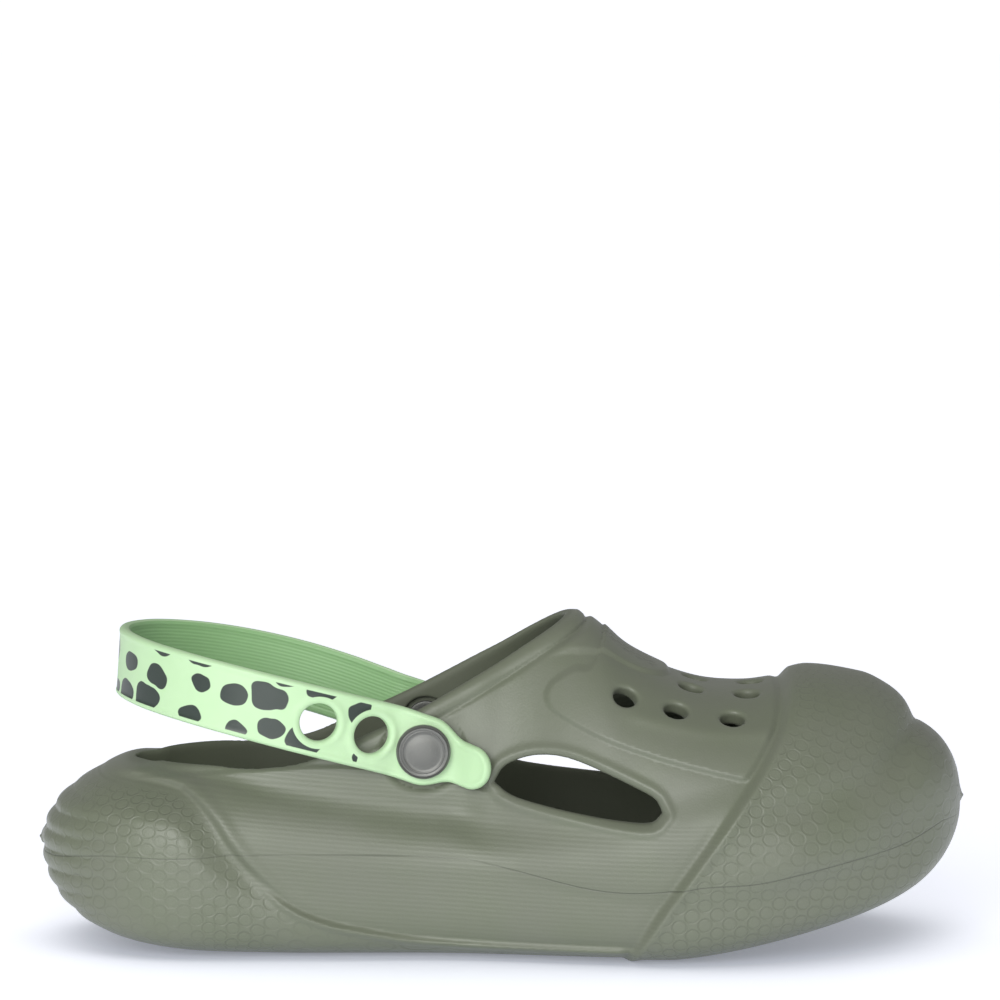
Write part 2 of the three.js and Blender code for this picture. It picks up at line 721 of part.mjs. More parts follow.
const clog = new THREE.Group();
clog.add(mesh("clog_body", clogBody(), olive));
clog.add(mesh("insole", insole(), charcoal));
clog.add(mesh("heel_strap", heelStrap(), mint));
for (const [side, sign] of [["outer", -1], ["inner", 1]]) {
  clog.add(mesh(`rivet_stud_${side}`, rivetStud(sign), taupe));
  clog.add(mesh(`rivet_socket_${side}`, rivetSocket(sign), taupe));
}

// The outline leans to the inner side, so the origin is put under the middle of the whole.
const box = new THREE.Box3().setFromObject(clog);
const middle = box.getCenter(new THREE.Vector3());
for (const piece of clog.children) piece.geometry.translate(-middle.x, -middle.y, -box.min.z);

export default clog;
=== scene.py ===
"""Dresses the garden clog's CAD frame: one foam moulding, its loose insole, the spotted heel strap and
the two snap rivets. Lengths are millimetres until a mesh is made; +X is the toe, +Y the inner side of
the foot and +Z up, as in the CAD frame.
"""

import logging
import math
from dataclasses import dataclass
from enum import Enum
from typing import Callable

import bpy
import numpy as np
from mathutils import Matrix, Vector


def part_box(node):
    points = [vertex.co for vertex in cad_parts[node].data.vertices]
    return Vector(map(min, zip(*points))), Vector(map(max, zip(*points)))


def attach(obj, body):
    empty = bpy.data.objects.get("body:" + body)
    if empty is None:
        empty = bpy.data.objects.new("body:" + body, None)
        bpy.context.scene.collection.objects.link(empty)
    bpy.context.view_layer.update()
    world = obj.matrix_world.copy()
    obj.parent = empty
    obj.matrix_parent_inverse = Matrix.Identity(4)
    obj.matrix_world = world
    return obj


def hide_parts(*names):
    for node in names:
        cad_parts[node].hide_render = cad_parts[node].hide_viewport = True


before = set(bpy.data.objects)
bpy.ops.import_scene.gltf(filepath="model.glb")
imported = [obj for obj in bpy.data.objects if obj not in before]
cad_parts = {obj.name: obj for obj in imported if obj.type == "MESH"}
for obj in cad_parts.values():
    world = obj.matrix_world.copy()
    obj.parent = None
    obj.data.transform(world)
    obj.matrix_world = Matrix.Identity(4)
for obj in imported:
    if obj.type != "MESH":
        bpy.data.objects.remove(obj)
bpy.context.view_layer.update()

LOG = logging.getLogger("clog")
Array = np.ndarray
Field = Callable[[Array, Array, Array], Array]
Colour = tuple[float, float, float, float]

STRAP_GAP = 0.7  # between the wall and the strap, mm
RECESS_DEPTH = 1.7  # how far a socket's recess goes out into the wall, mm
SOCKET_GAP = 0.35  # between a socket and its recess's floor, mm


# ------------------------------------------------------------------ number helpers


def smooth(t: Array) -> Array:
    """Returns 0 below 0, 1 above 1 and 3t^2 - 2t^3 between."""
    c = np.clip(t, 0.0, 1.0)
    return c * c * (3.0 - 2.0 * c)


def hump(distance: Array, width: float) -> Array:
    """Returns a soft ridge section, exp(-(distance / width)^2)."""
    return np.exp(-((distance / width) ** 2))


def soft_max(a: Array, b: Array, blend: Array | float) -> Array:
    """Returns the larger of a and b, rounded off where they are nearly equal.

    Args:
        a: first field.
        b: second field.
        blend: how far apart the two may be and still be rounded together.

    Returns:
        max(a, b) plus blend / 4 times the square of how near they are.
    """
    near = np.clip(1.0 - np.abs(a - b) / blend, 0.0, 1.0)
    return np.maximum(a, b) + near * near * blend / 4.0


def round_end(r: Array, power: float) -> Array:
    """Returns the superellipse (1 - r^power)^(1 / power), 1 at r = 0 and 0 at the tip r = 1."""
    return (1.0 - np.clip(r, 0.0, 1.0) ** power) ** (1.0 / power)


def reach(across: Array, up: Array, half_width: Array, height: Array, power: Array | float) -> Array:
    """Returns how far a superelliptic section reaches in the direction (across, up).

    Args:
        across: sideways share of the direction.
        up: upward share of the direction.
        half_width: half width of the section.
        height: height of the section above or below its middle.
        power: power of the superellipse.

    Returns:
        (|across / half_width|^power + |up / height|^power)^(-1 / power).
    """
    a = np.abs(across / np.maximum(half_width, 0.02))
    b = np.abs(up / np.maximum(height, 0.02))
    return (a**power + b**power + 1e-12) ** (-1.0 / power)


@dataclass(frozen=True)
class Profile:
    """A smooth curve through points: Hermite spans whose slopes are those between the neighbours."""

    points: tuple[tuple[float, float], ...]

    def __call__(self, x: Array) -> Array:
        """Returns the curve's height at each x, level beyond its ends."""
        xs, ys = np.array(self.points, float).T
        before = np.r_[0, np.arange(len(xs) - 1)]
        after = np.r_[np.arange(1, len(xs)), len(xs) - 1]
        slopes = (ys[after] - ys[before]) / (xs[after] - xs[before])
        i = np.clip(np.searchsorted(xs, x) - 1, 0, len(xs) - 2)
        w = xs[i + 1] - xs[i]
        b = np.clip((x - xs[i]) / w, 0.0, 1.0)
        a = 1.0 - b
        bend = w * a * b * (slopes[i] * a - slopes[i + 1] * b)
        return ys[i] * a * a * (1 + 2 * b) + ys[i + 1] * b * b * (1 + 2 * a) + bend


# ------------------------------------------------------------------ surfaces from fields


@dataclass(frozen=True)
class Mould:
    """Casts the surface on which a field is 0, with the field below 0 inside, on a grid of points."""

    low: tuple[float, float, float]
    high: tuple[float, float, float]
    step: tuple[float, float, float]

    def axes(self) -> list[Array]:
        """Returns the grid's places along X, Y and Z."""
        return [np.arange(a, b + s, s) for a, b, s in zip(self.low, self.high, self.step)]

    def sample(self, field: Field) -> Array:
        """Returns the field at every grid point, worked out in slabs along X to save memory."""
        x, y, z = self.axes()
        slabs = [
            field(*np.meshgrid(part, y, z, indexing="ij")).astype(np.float32)
            for part in np.array_split(x, max(1, len(x) // 8))
        ]
        return np.concatenate(slabs)

    def cast(self, field: Field) -> tuple[Array, Array]:
        """Meshes the zero surface: one vertex in each cell that the surface crosses, at the mean of its
        crossings of the cell's edges, and one quad round each grid edge that it crosses.

        Args:
            field: the function of x, y and z, negative inside.

        Returns:
            Vertices in millimetres, and quads that face outwards.
        """
        values = self.sample(field)
        inside = values < 0.0
        nx, ny, nz = values.shape
        count = np.zeros((nx - 1, ny - 1, nz - 1), np.uint8)
        corners = [(i, j, k) for i in (0, 1) for j in (0, 1) for k in (0, 1)]
        for i, j, k in corners:
            count += inside[i : nx - 1 + i, j : ny - 1 + j, k : nz - 1 + k]
        cells = np.argwhere((count > 0) & (count < 8))
        index = np.full(count.shape, -1, np.int32)
        index[tuple(cells.T)] = np.arange(len(cells))
        at_corner = np.stack(
            [values[cells[:, 0] + i, cells[:, 1] + j, cells[:, 2] + k] for i, j, k in corners], axis=1
        )
        total = np.zeros((len(cells), 3))
        crossings = np.zeros(len(cells))
        for a, low in enumerate(corners):
            for b, high in enumerate(corners):
                if a >= b or sum(abs(p - q) for p, q in zip(low, high)) != 1:
                    continue
                va, vb = at_corner[:, a], at_corner[:, b]
                crossed = (va < 0) != (vb < 0)
                share = np.where(crossed, va / np.where(crossed, va - vb, 1.0), 0.0)
                place = np.array(low) + share[:, None] * (np.array(high) - np.array(low))
                total += np.where(crossed[:, None], place, 0.0)
                crossings += crossed
        vertices = (cells + total / crossings[:, None]) * np.array(self.step) + np.array(self.low)
        quads = []
        for axis in range(3):
            turned = np.moveaxis(inside, axis, 0)
            cell = np.moveaxis(index, axis, 0)
            edge = np.argwhere(turned[:-1, 1:-1, 1:-1] != turned[1:, 1:-1, 1:-1])
            i, j, k = edge[:, 0], edge[:, 1] + 1, edge[:, 2] + 1
            ring = np.stack([cell[i, j - 1, k - 1], cell[i, j, k - 1], cell[i, j, k], cell[i, j - 1, k]], 1)
            outward = turned[i, j, k] != (axis == 1)
            quads.append(np.where(outward[:, None], ring, ring[:, ::-1]))
        return vertices, np.concatenate(quads)


def slope(field: Field, points: Array, reach_mm: float = 0.06) -> Array:
    """Returns the field's gradient at the points, from differences across 2 * reach_mm."""
    parts = []
    for axis in range(3):
        step = np.zeros(3)
        step[axis] = reach_mm
        parts.append(field(*(points + step).T) - field(*(points - step).T))
    return np.stack(parts, axis=1) / (2.0 * reach_mm)


def settle(field: Field, points: Array, rounds: int, stride: float) -> Array:
    """Moves points on to the zero surface by Newton steps, each no longer than stride."""
    for _ in range(rounds):
        grad = slope(field, points)
        size = np.maximum(np.linalg.norm(grad, axis=1, keepdims=True), 0.3)
        move = field(*points.T)[:, None] / size
        points = points - np.clip(move, -stride, stride) * grad / size
    return points


def polygon_distance(x: Array, z: Array, corners: Array) -> Array:
    """Returns the signed distance to a closed outline, negative inside: the least distance to its
    sides, with the sign from how often a ray to the right crosses them.
    """
    best = np.full(x.shape, 1e9)
    inside = np.zeros(x.shape, bool)
    for (ax, az), (bx, bz) in zip(corners, np.roll(corners, -1, axis=0)):
        dx, dz = bx - ax, bz - az
        t = np.clip(((x - ax) * dx + (z - az) * dz) / (dx * dx + dz * dz), 0.0, 1.0)
        best = np.minimum(best, (x - ax - t * dx) ** 2 + (z - az - t * dz) ** 2)
        spans = (az > z) != (bz > z)
        if dz != 0.0:
            inside ^= spans & (x < ax + (z - az) * dx / dz)
    return np.sqrt(best) * np.where(inside, -1.0, 1.0)


# ------------------------------------------------------------------ mesh helpers


def to_object(name: str, vertices: Array, faces: Array) -> bpy.types.Object:
    """Makes a smooth-shaded mesh object at the origin.

    Args:
        name: object's name.
        vertices: places in millimetres.
        faces: one row of vertex numbers for each face, all of one length.

    Returns:
        The linked object.
    """
    mesh = bpy.data.meshes.new(name)
    sides = faces.shape[1]
    mesh.vertices.add(len(vertices))
    mesh.vertices.foreach_set("co", (vertices * 0.001).astype(np.float32).ravel())
    mesh.loops.add(faces.size)
    mesh.loops.foreach_set("vertex_index", faces.astype(np.int32).ravel())
    mesh.polygons.add(len(faces))
    mesh.polygons.foreach_set("loop_start", np.arange(0, faces.size, sides, dtype=np.int32))
    mesh.update(calc_edges=True)
    mesh.validate()
    mesh.polygons.foreach_set("use_smooth", np.ones(len(mesh.polygons), bool))
    piece = bpy.data.objects.new(name, mesh)
    bpy.context.scene.collection.objects.link(piece)
    return piece


def thinned(piece: bpy.types.Object, most: int) -> tuple[Array, Array]:
    """Collapses edges in a piece until it has at most that many triangles, fewest on its plainest parts.

    Args:
        piece: object whose mesh is thinned and then removed.
        most: triangles to keep.

    Returns:
        Vertices in millimetres and triangles.
    """
    triangles = 2 * len(piece.data.polygons)
    modifier = piece.modifiers.new("thin", "DECIMATE")
    modifier.ratio = min(1.0, most / triangles)
    modifier.use_collapse_triangulate = True
    mesh = piece.evaluated_get(bpy.context.evaluated_depsgraph_get()).to_mesh()
    mesh.calc_loop_triangles()
    vertices = np.zeros(len(mesh.vertices) * 3, np.float32)
    mesh.vertices.foreach_get("co", vertices)
    faces = np.zeros(len(mesh.loop_triangles) * 3, np.int32)
    mesh.loop_triangles.foreach_get("vertices", faces)
    bpy.data.objects.remove(piece)
    return vertices.reshape(-1, 3).astype(float) * 1000.0, faces.reshape(-1, 3)


def note(piece: bpy.types.Object, name: str, values: Array) -> None:
    """Stores one number or one vector for each vertex as an attribute that materials read."""
    kind = "FLOAT" if values.ndim == 1 else "FLOAT_VECTOR"
    layer = piece.data.attributes.new(name, kind, "POINT")
    layer.data.foreach_set("value" if values.ndim == 1 else "vector", values.astype(np.float32).ravel())


def node_middle(*nodes: str) -> Array:
    """Returns the middle, in millimetres, of the boxes of CAD nodes taken together."""
    boxes = np.array([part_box(node) for node in nodes], float) * 1000.0
    return (boxes[:, 0].min(axis=0) + boxes[:, 1].max(axis=0)) / 2.0


# ------------------------------------------------------------------ the foam


@dataclass
class Foam:
    """The one-piece moulding: a sole and an arch over the foot in one filleted skin, a hollow for the
    foot, and the openings cut through them.
    """

    length: float = 240.0
    heel_width: float = 74.0
    waist_width: float = 73.0
    ball_width: float = 95.0
    toe_swing: float = 5.0
    rim_height: float = 49.5
    heel_tip: float = 27.0
    toe_tip: float = 37.0
    bumper: float = 56.5
    tongue: float = 87.0
    vamp: float = 66.5
    dome: float = 70.0
    instep_width: float = 54.6
    wall: float = 3.6
    cap_raise: float = 2.0
    heel_full: float = 0.2
    waist_full: float = 0.4
    ball_full: float = 0.7
    rim_end: float = 0.579
    vent_radius: float = 3.1
    vent_pitch: float = 14.0
    vent_sweep: float = 5.6
    scallop_pitch: float = 4.9
    scallop_depth: float = 0.75
    side_shift: float = 0.0

    def __post_init__(self) -> None:
        """Works out the curves along the clog from its sizes."""
        rim, tongue, vamp = self.rim_height, self.tongue, self.vamp
        instep, ball = self.instep_width / 2, self.ball_width / 2
        self.shoulder = Profile(
            ((0.11, rim), (0.21, rim - 0.3), (0.33, rim - 2), (0.42, rim - 5.5), (0.5, rim - 9))
            + ((0.6, rim - 8), (0.72, rim - 5), (0.85, self.bumper - 6), (0.945, self.bumper))
        )
        self.sole_power = Profile(
            ((0, 2.2), (0.2, 2.8), (0.32, 2.4), (0.42, 2.2), (0.6, 2.6), (0.72, 4), (0.88, 4), (1, 2.4))
        )
        self.arch_top = Profile(
            ((0.1, rim - 11), (0.13, rim + 4), (0.16, rim + 15), (0.1875, rim + 21), (0.25, rim + 26))
            + ((0.3, tongue - 9), (0.358, tongue - 1), (0.4167, tongue + 7), (0.49, tongue + 9))
            + ((0.53, tongue + 6.5), (0.577, tongue), (0.604, tongue - 4.4), (0.633, tongue - 10.9))
            + ((0.6625, vamp + 5.4), (0.692, vamp + 2.4), (0.725, vamp + 0.4), (0.767, vamp))
            + ((0.8, vamp + 1.2), (0.833, self.dome - 0.4), (0.892, self.dome - 2.5))
            + ((0.9125, self.dome - 4.6),)
            + ((0.935, self.dome - 8.5), (0.956, self.dome - 15), (0.97, self.dome - 22))
        )
        self.arch_half_width = Profile(
            ((0.1, instep - 11), (0.143, instep - 6), (0.1875, instep - 3), (0.25, instep))
            + ((0.333, instep + 0.4), (0.4167, instep), (0.455, instep + 0.7), (0.49, instep + 4.3))
            + ((0.53, ball - 12), (0.577, ball - 9), (0.633, ball - 6.5), (0.708, ball - 4.2))
            + ((0.767, ball - 3.4), (0.817, ball - 4.2), (0.875, ball - 9), (0.917, ball - 15.5))
            + ((0.95, ball - 26), (0.97, ball - 38))
        )
        self.arch_power = Profile(
            ((0.1, 2.4), (0.36, 2.6), (0.42, 2.6), (0.49, 1.7), (0.53, 1.6), (0.577, 1.9))
            + ((0.633, 2.3), (0.7, 2.5), (0.77, 2.4), (0.833, 2.2), (0.97, 2.1))
        )
        self.fillet = Profile(((0.1, 2), (0.4, 3), (0.55, 5), (0.7, 8), (0.85, 8), (0.95, 3)))
        self.rim = Profile(
            ((0.1, rim - 0.8), (0.15, rim - 0.7), (0.2, rim - 0.2), (0.25, rim + 0.6), (0.3, rim + 3))
            + ((0.358, rim + 8.3), (0.4125, tongue - 23), (0.49, tongue - 12.4), (0.53, tongue - 6.5))
            + ((0.579, tongue + 0.4),)
        )
        self.footbed = Profile(((0.102, 20.5), (0.25, 19), (0.45, 20), (0.68, 13.5), (0.8, 16), (0.921, 22)))
        self.toe_crease = Profile(((0, 31.5), (14, 40), (27, 49), (41, 59), (54, 68), (62, 72), (75, 74)))
        self.heel_crease = Profile(
            ((-120, 47), (-97, 46), (-83, 44), (-78, 40.8), (-73.5, 35.8), (-70, 30.5), (-66, 25.5))
            + ((-60, 19.5), (-54, 14.5), (-46, 10.8), (-36, 8.4), (-22, 6), (0, 4.8), (40, 4.4))
        )
        self.lobe_valley = Profile(((60, 37), (75, 41), (93, 46), (103, 52.5), (110, 58)))
        self.ribs_top = Profile(
            ((-97, 45.6), (-78, 46.9), (-64, 48.2), (-40, 49.3), (-15, 46.6), (-1, 42.7), (10, 39.6))
            + ((20, 37.4), (30, 36.3), (42, 37.2), (66, 38.3))
        )
        self.panel_foot = Profile(((8, 68.5), (14, 63.5), (26, 57.6), (40, 53), (53, 49.8), (66, 46.8)))
        self.panel_top = Profile(((9, 65), (11, 69), (13.7, 71.8), (18.5, 74.6), (23.7, 75.9), (30, 90)))
        self.fold_line = Profile(((28, 64.5), (34.6, 63.3), (52, 59.8), (69.5, 59.1)))
        self.pad_side = Profile(((20, 18.8), (24, 18), (32, 16), (37, 15), (44, 12.5)))
        self.parting = Profile(
            ((-116, 24.7), (-102, 26.9), (-85, 26.9), (-62, 27.8), (-11, 27), (3, 24.5), (20, 20.7))
            + ((30, 19.6), (41, 20), (51, 21.6), (65, 22.5), (76, 24.6), (87, 26.7), (96, 28.4), (104, 30.1))
            + ((114, 34),)
        )
        self.window = self.window_outline()
        run = np.linspace(-100, self.at(self.rim_end), 49)
        mouth = np.stack([run, self.rim(self.share(run))], axis=1)
        front = mouth[-1] + np.array([18.0, 30.0])
        self.mouth = np.concatenate([mouth, [front, [-100.0, front[1]]]])
        run = np.linspace(-118, 40, 54)
        cup = np.stack([run, self.heel_crease(run)], axis=1)
        self.cup = np.concatenate([[[-160.0, 47.0]], cup, [[90.0, 4.0], [90.0, -90.0], [-160.0, -90.0]]])

    def share(self, x: Array) -> Array:
        """Returns the share of the length at x, 0 at the heel's tip and 1 at the toe's."""
        return np.clip(x / self.length + 0.5, 1e-4, 1.0 - 1e-4)

    def centre(self, s: Array) -> Array:
        """Returns how far the middle of the foot leans to the inner side."""
        return self.toe_swing * smooth((s - self.ball_full) / (1 - self.ball_full)) + self.side_shift

    def sole_half_width(self, s: Array) -> Array:
        """Returns the sole's half width: rounded ends on smooth steps from heel to waist to ball."""
        a, b, c = self.heel_width / 2, self.waist_width / 2, self.ball_width / 2
        first = a + (b - a) * smooth((s - self.heel_full) / (self.waist_full - self.heel_full))
        second = b + (c - b) * smooth((s - self.waist_full) / (self.ball_full - self.waist_full))
        middle = np.where(s < self.waist_full, first, second)
        heel = round_end(1 - s / self.heel_full, 2.3)
        toe = round_end((s - self.ball_full) / (1 - self.ball_full), 2.3)
        return middle * heel * toe

    def sole_bottom(self, s: Array) -> Array:
        """Returns the height of the tread: flat in the middle, rockered at the heel, sprung at the toe."""
        r = np.clip(1 - s / 0.3, 0, 1)
        heel = 5.0 * r**2 + (self.heel_tip - 5.0) * (1 - round_end(r**2.5, 2))
        q = np.clip((s - 0.68) / 0.32, 0, 1)
        toe = 19.0 * q**1.4 + (self.toe_tip - 19.0) * (1 - round_end(q**4, 2))
        return heel + toe

    def sole_top(self, s: Array) -> Array:
        """Returns the height of the sole block's top, with rounded ends."""
        heel = self.heel_tip + (self.rim_height - self.heel_tip) * round_end(1 - s / 0.11, 1.52)
        toe = self.toe_tip + (self.bumper - self.toe_tip) * round_end((s - 0.945) / 0.055, 1.65)
        return np.where(s < 0.11, heel, np.where(s > 0.945, toe, self.shoulder(s)))

    def waist(self, s: Array) -> Array:
        """Returns the height at which the sole is widest."""
        t = np.where(s < 0.5, s / 0.11, (1 - s) / 0.055)
        tip = np.where(s < 0.5, self.heel_tip, self.toe_tip)
        lift = np.where(s > 0.5, 9.5 * smooth((s - 0.6) / 0.4), 0.0)
        return tip + (23.0 + lift - tip) * smooth(t)

    def window_outline(self) -> Array:
        """Returns the almond window's corners in side view, from two curves on its tilted long axis."""
        upper = Profile(
            ((-0.5, 0), (-0.46, 0.23), (-0.4, 0.38), (-0.28, 0.54), (-0.15, 0.61), (-0.05, 0.6))
            + ((0.1, 0.5), (0.35, 0.25), (0.46, 0.1), (0.5, -0.1))
        )
        lower = Profile(
            ((-0.5, 0), (-0.41, -0.17), (-0.2, -0.27), (0, -0.32), (0.25, -0.35), (0.44, -0.3), (0.5, -0.1))
        )
        t = -np.cos(np.linspace(0, math.pi, 25))[:-1] / 2
        run = np.r_[t, -t]
        rise = np.r_[lower(t), upper(-t)]
        x = (0.582 - 0.5) * self.length + run * 43.0
        return np.stack([x, 43.5 - run * 4.6 + rise * 14.6], axis=1)

    # -------- fields, in millimetres, negative inside

    def skin(self, x: Array, y: Array, z: Array) -> Array:
        """Returns how far a point lies outside the plain skin: its distance from the section's middle
        less the reach of the sole and of the arch in its direction, joined by a fillet. Behind, the
        sections are those a little farther back, by the depth of the scallops' grooves.
        """
        s = self.share(x - self.scallops(x, z))
        middle = self.waist(s)
        dy, dz = y - self.centre(s), z - middle
        r = np.hypot(dy, dz) + 1e-9
        across, up = dy / r, dz / r
        under = up < 0
        half_width = self.sole_half_width(s) - (self.cap_raise + self.fillet(s) / 8) * round_end(
            np.maximum(1 - s / 0.02, (s - 0.98) / 0.02), 2
        )
        below = middle - self.sole_bottom(s)
        height = np.where(under, below, self.sole_top(s) - middle)
        power = np.where(under, 5.0, self.sole_power(s))
        sole = reach(across, up, half_width, height, power)
        rise = np.where(under, below / 2, self.arch_top(s) - middle)
        arch = reach(across, up, self.arch_half_width(s), rise, self.arch_power(s))
        ends = smooth((s - 0.1) / 0.01) * smooth((0.972 - s) / 0.01)
        both = soft_max(sole, arch, self.fillet(s))
        radius = sole + (both - sole) * ends
        lift = self.relief(x, y, z) * (across**2 + np.where(under, 0.0, up**2))
        past = np.maximum(np.abs(x) - self.length / 2, 0.0)
        return r - radius - lift + 3.0 * past

    def toe_side(self, x: Array, z: Array) -> Array:
        """Returns how far ahead of the toe cap's crease a point lies, square to the leaning crease."""
        return (x - self.toe_crease(z)) * 0.82

    def heel_side(self, x: Array, z: Array) -> Array:
        """Returns how far inside the heel cap's crease a point lies in side view."""
        return -self.side_distance(x, z, self.cup)

    @staticmethod
    def side_distance(x: Array, z: Array, corners: Array) -> Array:
        """Returns the side-view distance outside an outline, worked out once for all Y of a grid."""
        if x.ndim == 3:
            flat = polygon_distance(x[:, 0, :], z[:, 0, :], corners)
            return np.broadcast_to(flat[:, None, :], x.shape)
        return polygon_distance(x, z, corners)

    def collar_distance(self, x: Array, z: Array) -> Array:
        """Returns the side-view distance outside the mouth's edge."""
        return self.side_distance(x, z, self.mouth)

    def scallops(self, x: Array, z: Array) -> Array:
        """Returns how deep the level grooves round the back of the heel are: |sin| waves up the heel,
        fading towards the sides and at the top.
        """
        wave = 1.0 - np.abs(np.sin(math.pi * (z - 1.0) / self.scallop_pitch))
        behind = smooth((-93 - x) / 20)
        return self.scallop_depth * wave * behind * smooth((z - 3) / 5) * smooth((48.5 - z) / 4)

    def toe_relief(self, x: Array, z: Array) -> Array:
        """Returns the toe cap's height: a proud shell whose edge rolls more the nearer the sole, a
        valley between its two lobes, and the fullness of the lower lobe.
        """
        toe = self.toe_side(x, z)
        low = smooth((60 - z) / 30)
        cap = self.cap_raise * smooth((toe + 0.9) / 2.6) - 0.12 * hump(toe + 1.5, 1.0)
        cap = cap + (0.05 + 0.5 * low) * hump(toe - 1.9, 1.4)
        above_valley = (z - self.lobe_valley(x)) * 0.9
        lobes = 0.9 * hump(above_valley + 12.0, 7.0) - 2.2 * hump(above_valley, 4.6)
        return cap + lobes * smooth((x - 56) / 22)

    def heel_relief(self, x: Array, z: Array) -> Array:
        """Returns the heel cap's height: high up a cove behind a crisp edge, swelling to a full cup
        behind; low down a proud step with a bead along it.
        """
        heel = self.heel_side(x, z)
        behind = smooth((36 - x) / 6)
        high = smooth((z - 8) / 18)
        base = (0.55 + 0.45 * smooth((-60 - x) / 25)) * 1.8
        rise = high * smooth((heel - 1.0) / 9.0) + (1 - high) * smooth((heel + 0.9) / 2.0)
        cove = -1.3 * high * smooth((heel + 1.4) / 2.4) * hump(np.maximum(heel - 1.0, 0.0), 4.6)
        roll = 0.4 * high * hump(heel + 2.0, 1.6) + 0.9 * (1 - high) * hump(heel - 1.0, 1.1)
        return (base * rise + (cove + roll) * smooth((x + 104) / 12)) * behind

    def side_relief(self, x: Array, y: Array, z: Array) -> Array:
        """Returns the height of the collar's roll and crease, the ledge over the ribs, the side panels,
        the tongue's pad, the fold ahead of it and the windows' lips.
        """
        mouth = self.collar_distance(x, z)
        rising = smooth((x + 38) / 14)
        collar = rising * (0.35 * hump(mouth - 1.7, 1.6) - 0.6 * hump(mouth - 4.4, 0.7))
        over_ribs = z - self.ribs_top(x)
        ledge = smooth((over_ribs + 0.7) / 1.4) * hump(np.maximum(over_ribs, 0.0), 3.5)
        ledge = -0.6 * ledge * smooth((x + 98) / 8) * smooth((2 - x) / 6)
        foot, top = (z - self.panel_foot(x)) * 0.88, (self.panel_top(x) - z) * 0.75
        panel = 0.9 * smooth((0.6 - soft_max(-foot, -top, 6.0)) / 1.6)
        fold = 0.5 * hump(z - self.fold_line(x), 1.9) * smooth((x - 29) / 7)
        off = np.abs(y - self.side_shift) - self.pad_side(x)
        pad = 0.9 * smooth((0.5 - soft_max(soft_max(off, x - 43.6, 9.0), 4.6 - mouth, 2.0)) / 1.5)
        upper = smooth((z - 44) / 6) * (1 - smooth((self.toe_side(x, z) + 2.5) / 2.5))
        lips = 0.65 * hump(self.window_distance(x, z) - 1.8, 1.2) * smooth((x + 6) / 4)
        return collar + ledge + (panel + fold + pad * smooth((z - 62) / 6)) * upper + lips

    def relief(self, x: Array, y: Array, z: Array) -> Array:
        """Returns the whole moulded relief of the skin."""
        return self.toe_relief(x, z) + self.heel_relief(x, z) + self.side_relief(x, y, z)

    def window_distance(self, x: Array, z: Array) -> Array:
        """Returns the side-view distance outside the window, worked out only near it."""
        away = np.full(np.broadcast(x, z).shape, 30.0)
        near = (x > -12) & (x < 52) & (z > 28) & (z < 64)
        if near.any():
            if x.ndim == 3:
                return np.where(near, self.side_distance(x, z, self.window), away)
            away[near] = polygon_distance(x[near], z[near], self.window)
        return away

    def hollow(self, x: Array, y: Array, z: Array, clearance: float = 0.0) -> Array:
        """Returns how far a point lies outside the foot's hollow, or outside it less a clearance."""
        start, end = 24.5 / self.length, 1 - 19.0 / self.length
        s = self.share(x)
        heel = round_end(1 - (s - start) / 0.15, 2.3)
        toe = round_end(1 - (end - s) / 0.175, 2.2)
        wall = self.wall
        half_width = np.minimum(self.arch_half_width(s) - wall, self.sole_half_width(s) - 2 * wall)
        half_width = np.maximum(half_width * heel * toe - clearance, 0.05)
        over = np.where(s < self.rim_end / 2, self.rim(s) + wall, 0.0)
        top = (np.maximum(self.arch_top(s) - wall, over) - wall * (1 - toe)) * toe**0.4
        bed = self.footbed(s) + clearance
        bottom = bed + (26.0 - bed) * (1 - heel * toe) ** 2
        dy, dz = y - self.centre(s), z - 28.0
        r = np.hypot(dy, dz) + 1e-9
        under = dz < 0
        height = np.where(under, 28.0 - bottom, np.maximum(2.0, top - 28.0))
        power = np.where(under, 4.0, self.arch_power(s) + 2 * smooth((0.37 - s) / 0.12))
        past = np.maximum(self.at(start) - x, x - self.at(end))
        return np.maximum(r - reach(dy / r, dz / r, half_width, height, power), past)

    def at(self, share: float) -> float:
        """Returns X at a share of the length."""
        return (share - 0.5) * self.length

    def arch_side(self, x: float, z: float) -> float:
        """Returns how far out the arch's side is at a place in side view."""
        s = self.share(np.array([x]))
        middle = self.waist(s)
        up = np.maximum(0, (z - middle) / (self.arch_top(s) - middle))
        power = self.arch_power(s)
        return float((self.arch_half_width(s) * (1 - up**power) ** (1 / power))[0])

    def vents(self) -> list[tuple[Array, Array]]:
        """Returns a point on the vamp and the direction out of it for each vent hole."""
        found = []
        for share, columns in ((0.77, (-2, -1, 0, 1, 2)), (0.71, (-2, -1, 0, 1, 2)), (0.656, (-2, 2))):
            for column in columns:
                y = 1.5 + self.side_shift + column * self.vent_pitch
                x = self.at(share) - self.vent_sweep * (column / 2) ** 2
                point = np.array([[x, y, 60.0]])
                line = np.stack([np.full(400, x), np.full(400, y), np.linspace(50, 90, 400)])
                outside = self.skin(*line) > 0
                point[0, 2] = line[2][np.argmax(outside)]
                normal = slope(self.skin, point, 0.5)[0]
                found.append((point[0], normal / np.linalg.norm(normal)))
        return found

    def body(self, rivet: "RivetPlace") -> Field:
        """Makes the whole moulding's field.

        Args:
            rivet: where the rivets go through the walls.

        Returns:
            A function of x, y and z: the skin less the hollow, what is over the rim, the windows, the
            vents, and the rivets' bores, recesses and seats, with each edge rounded, on a flat tread.
        """
        vents = self.vents()

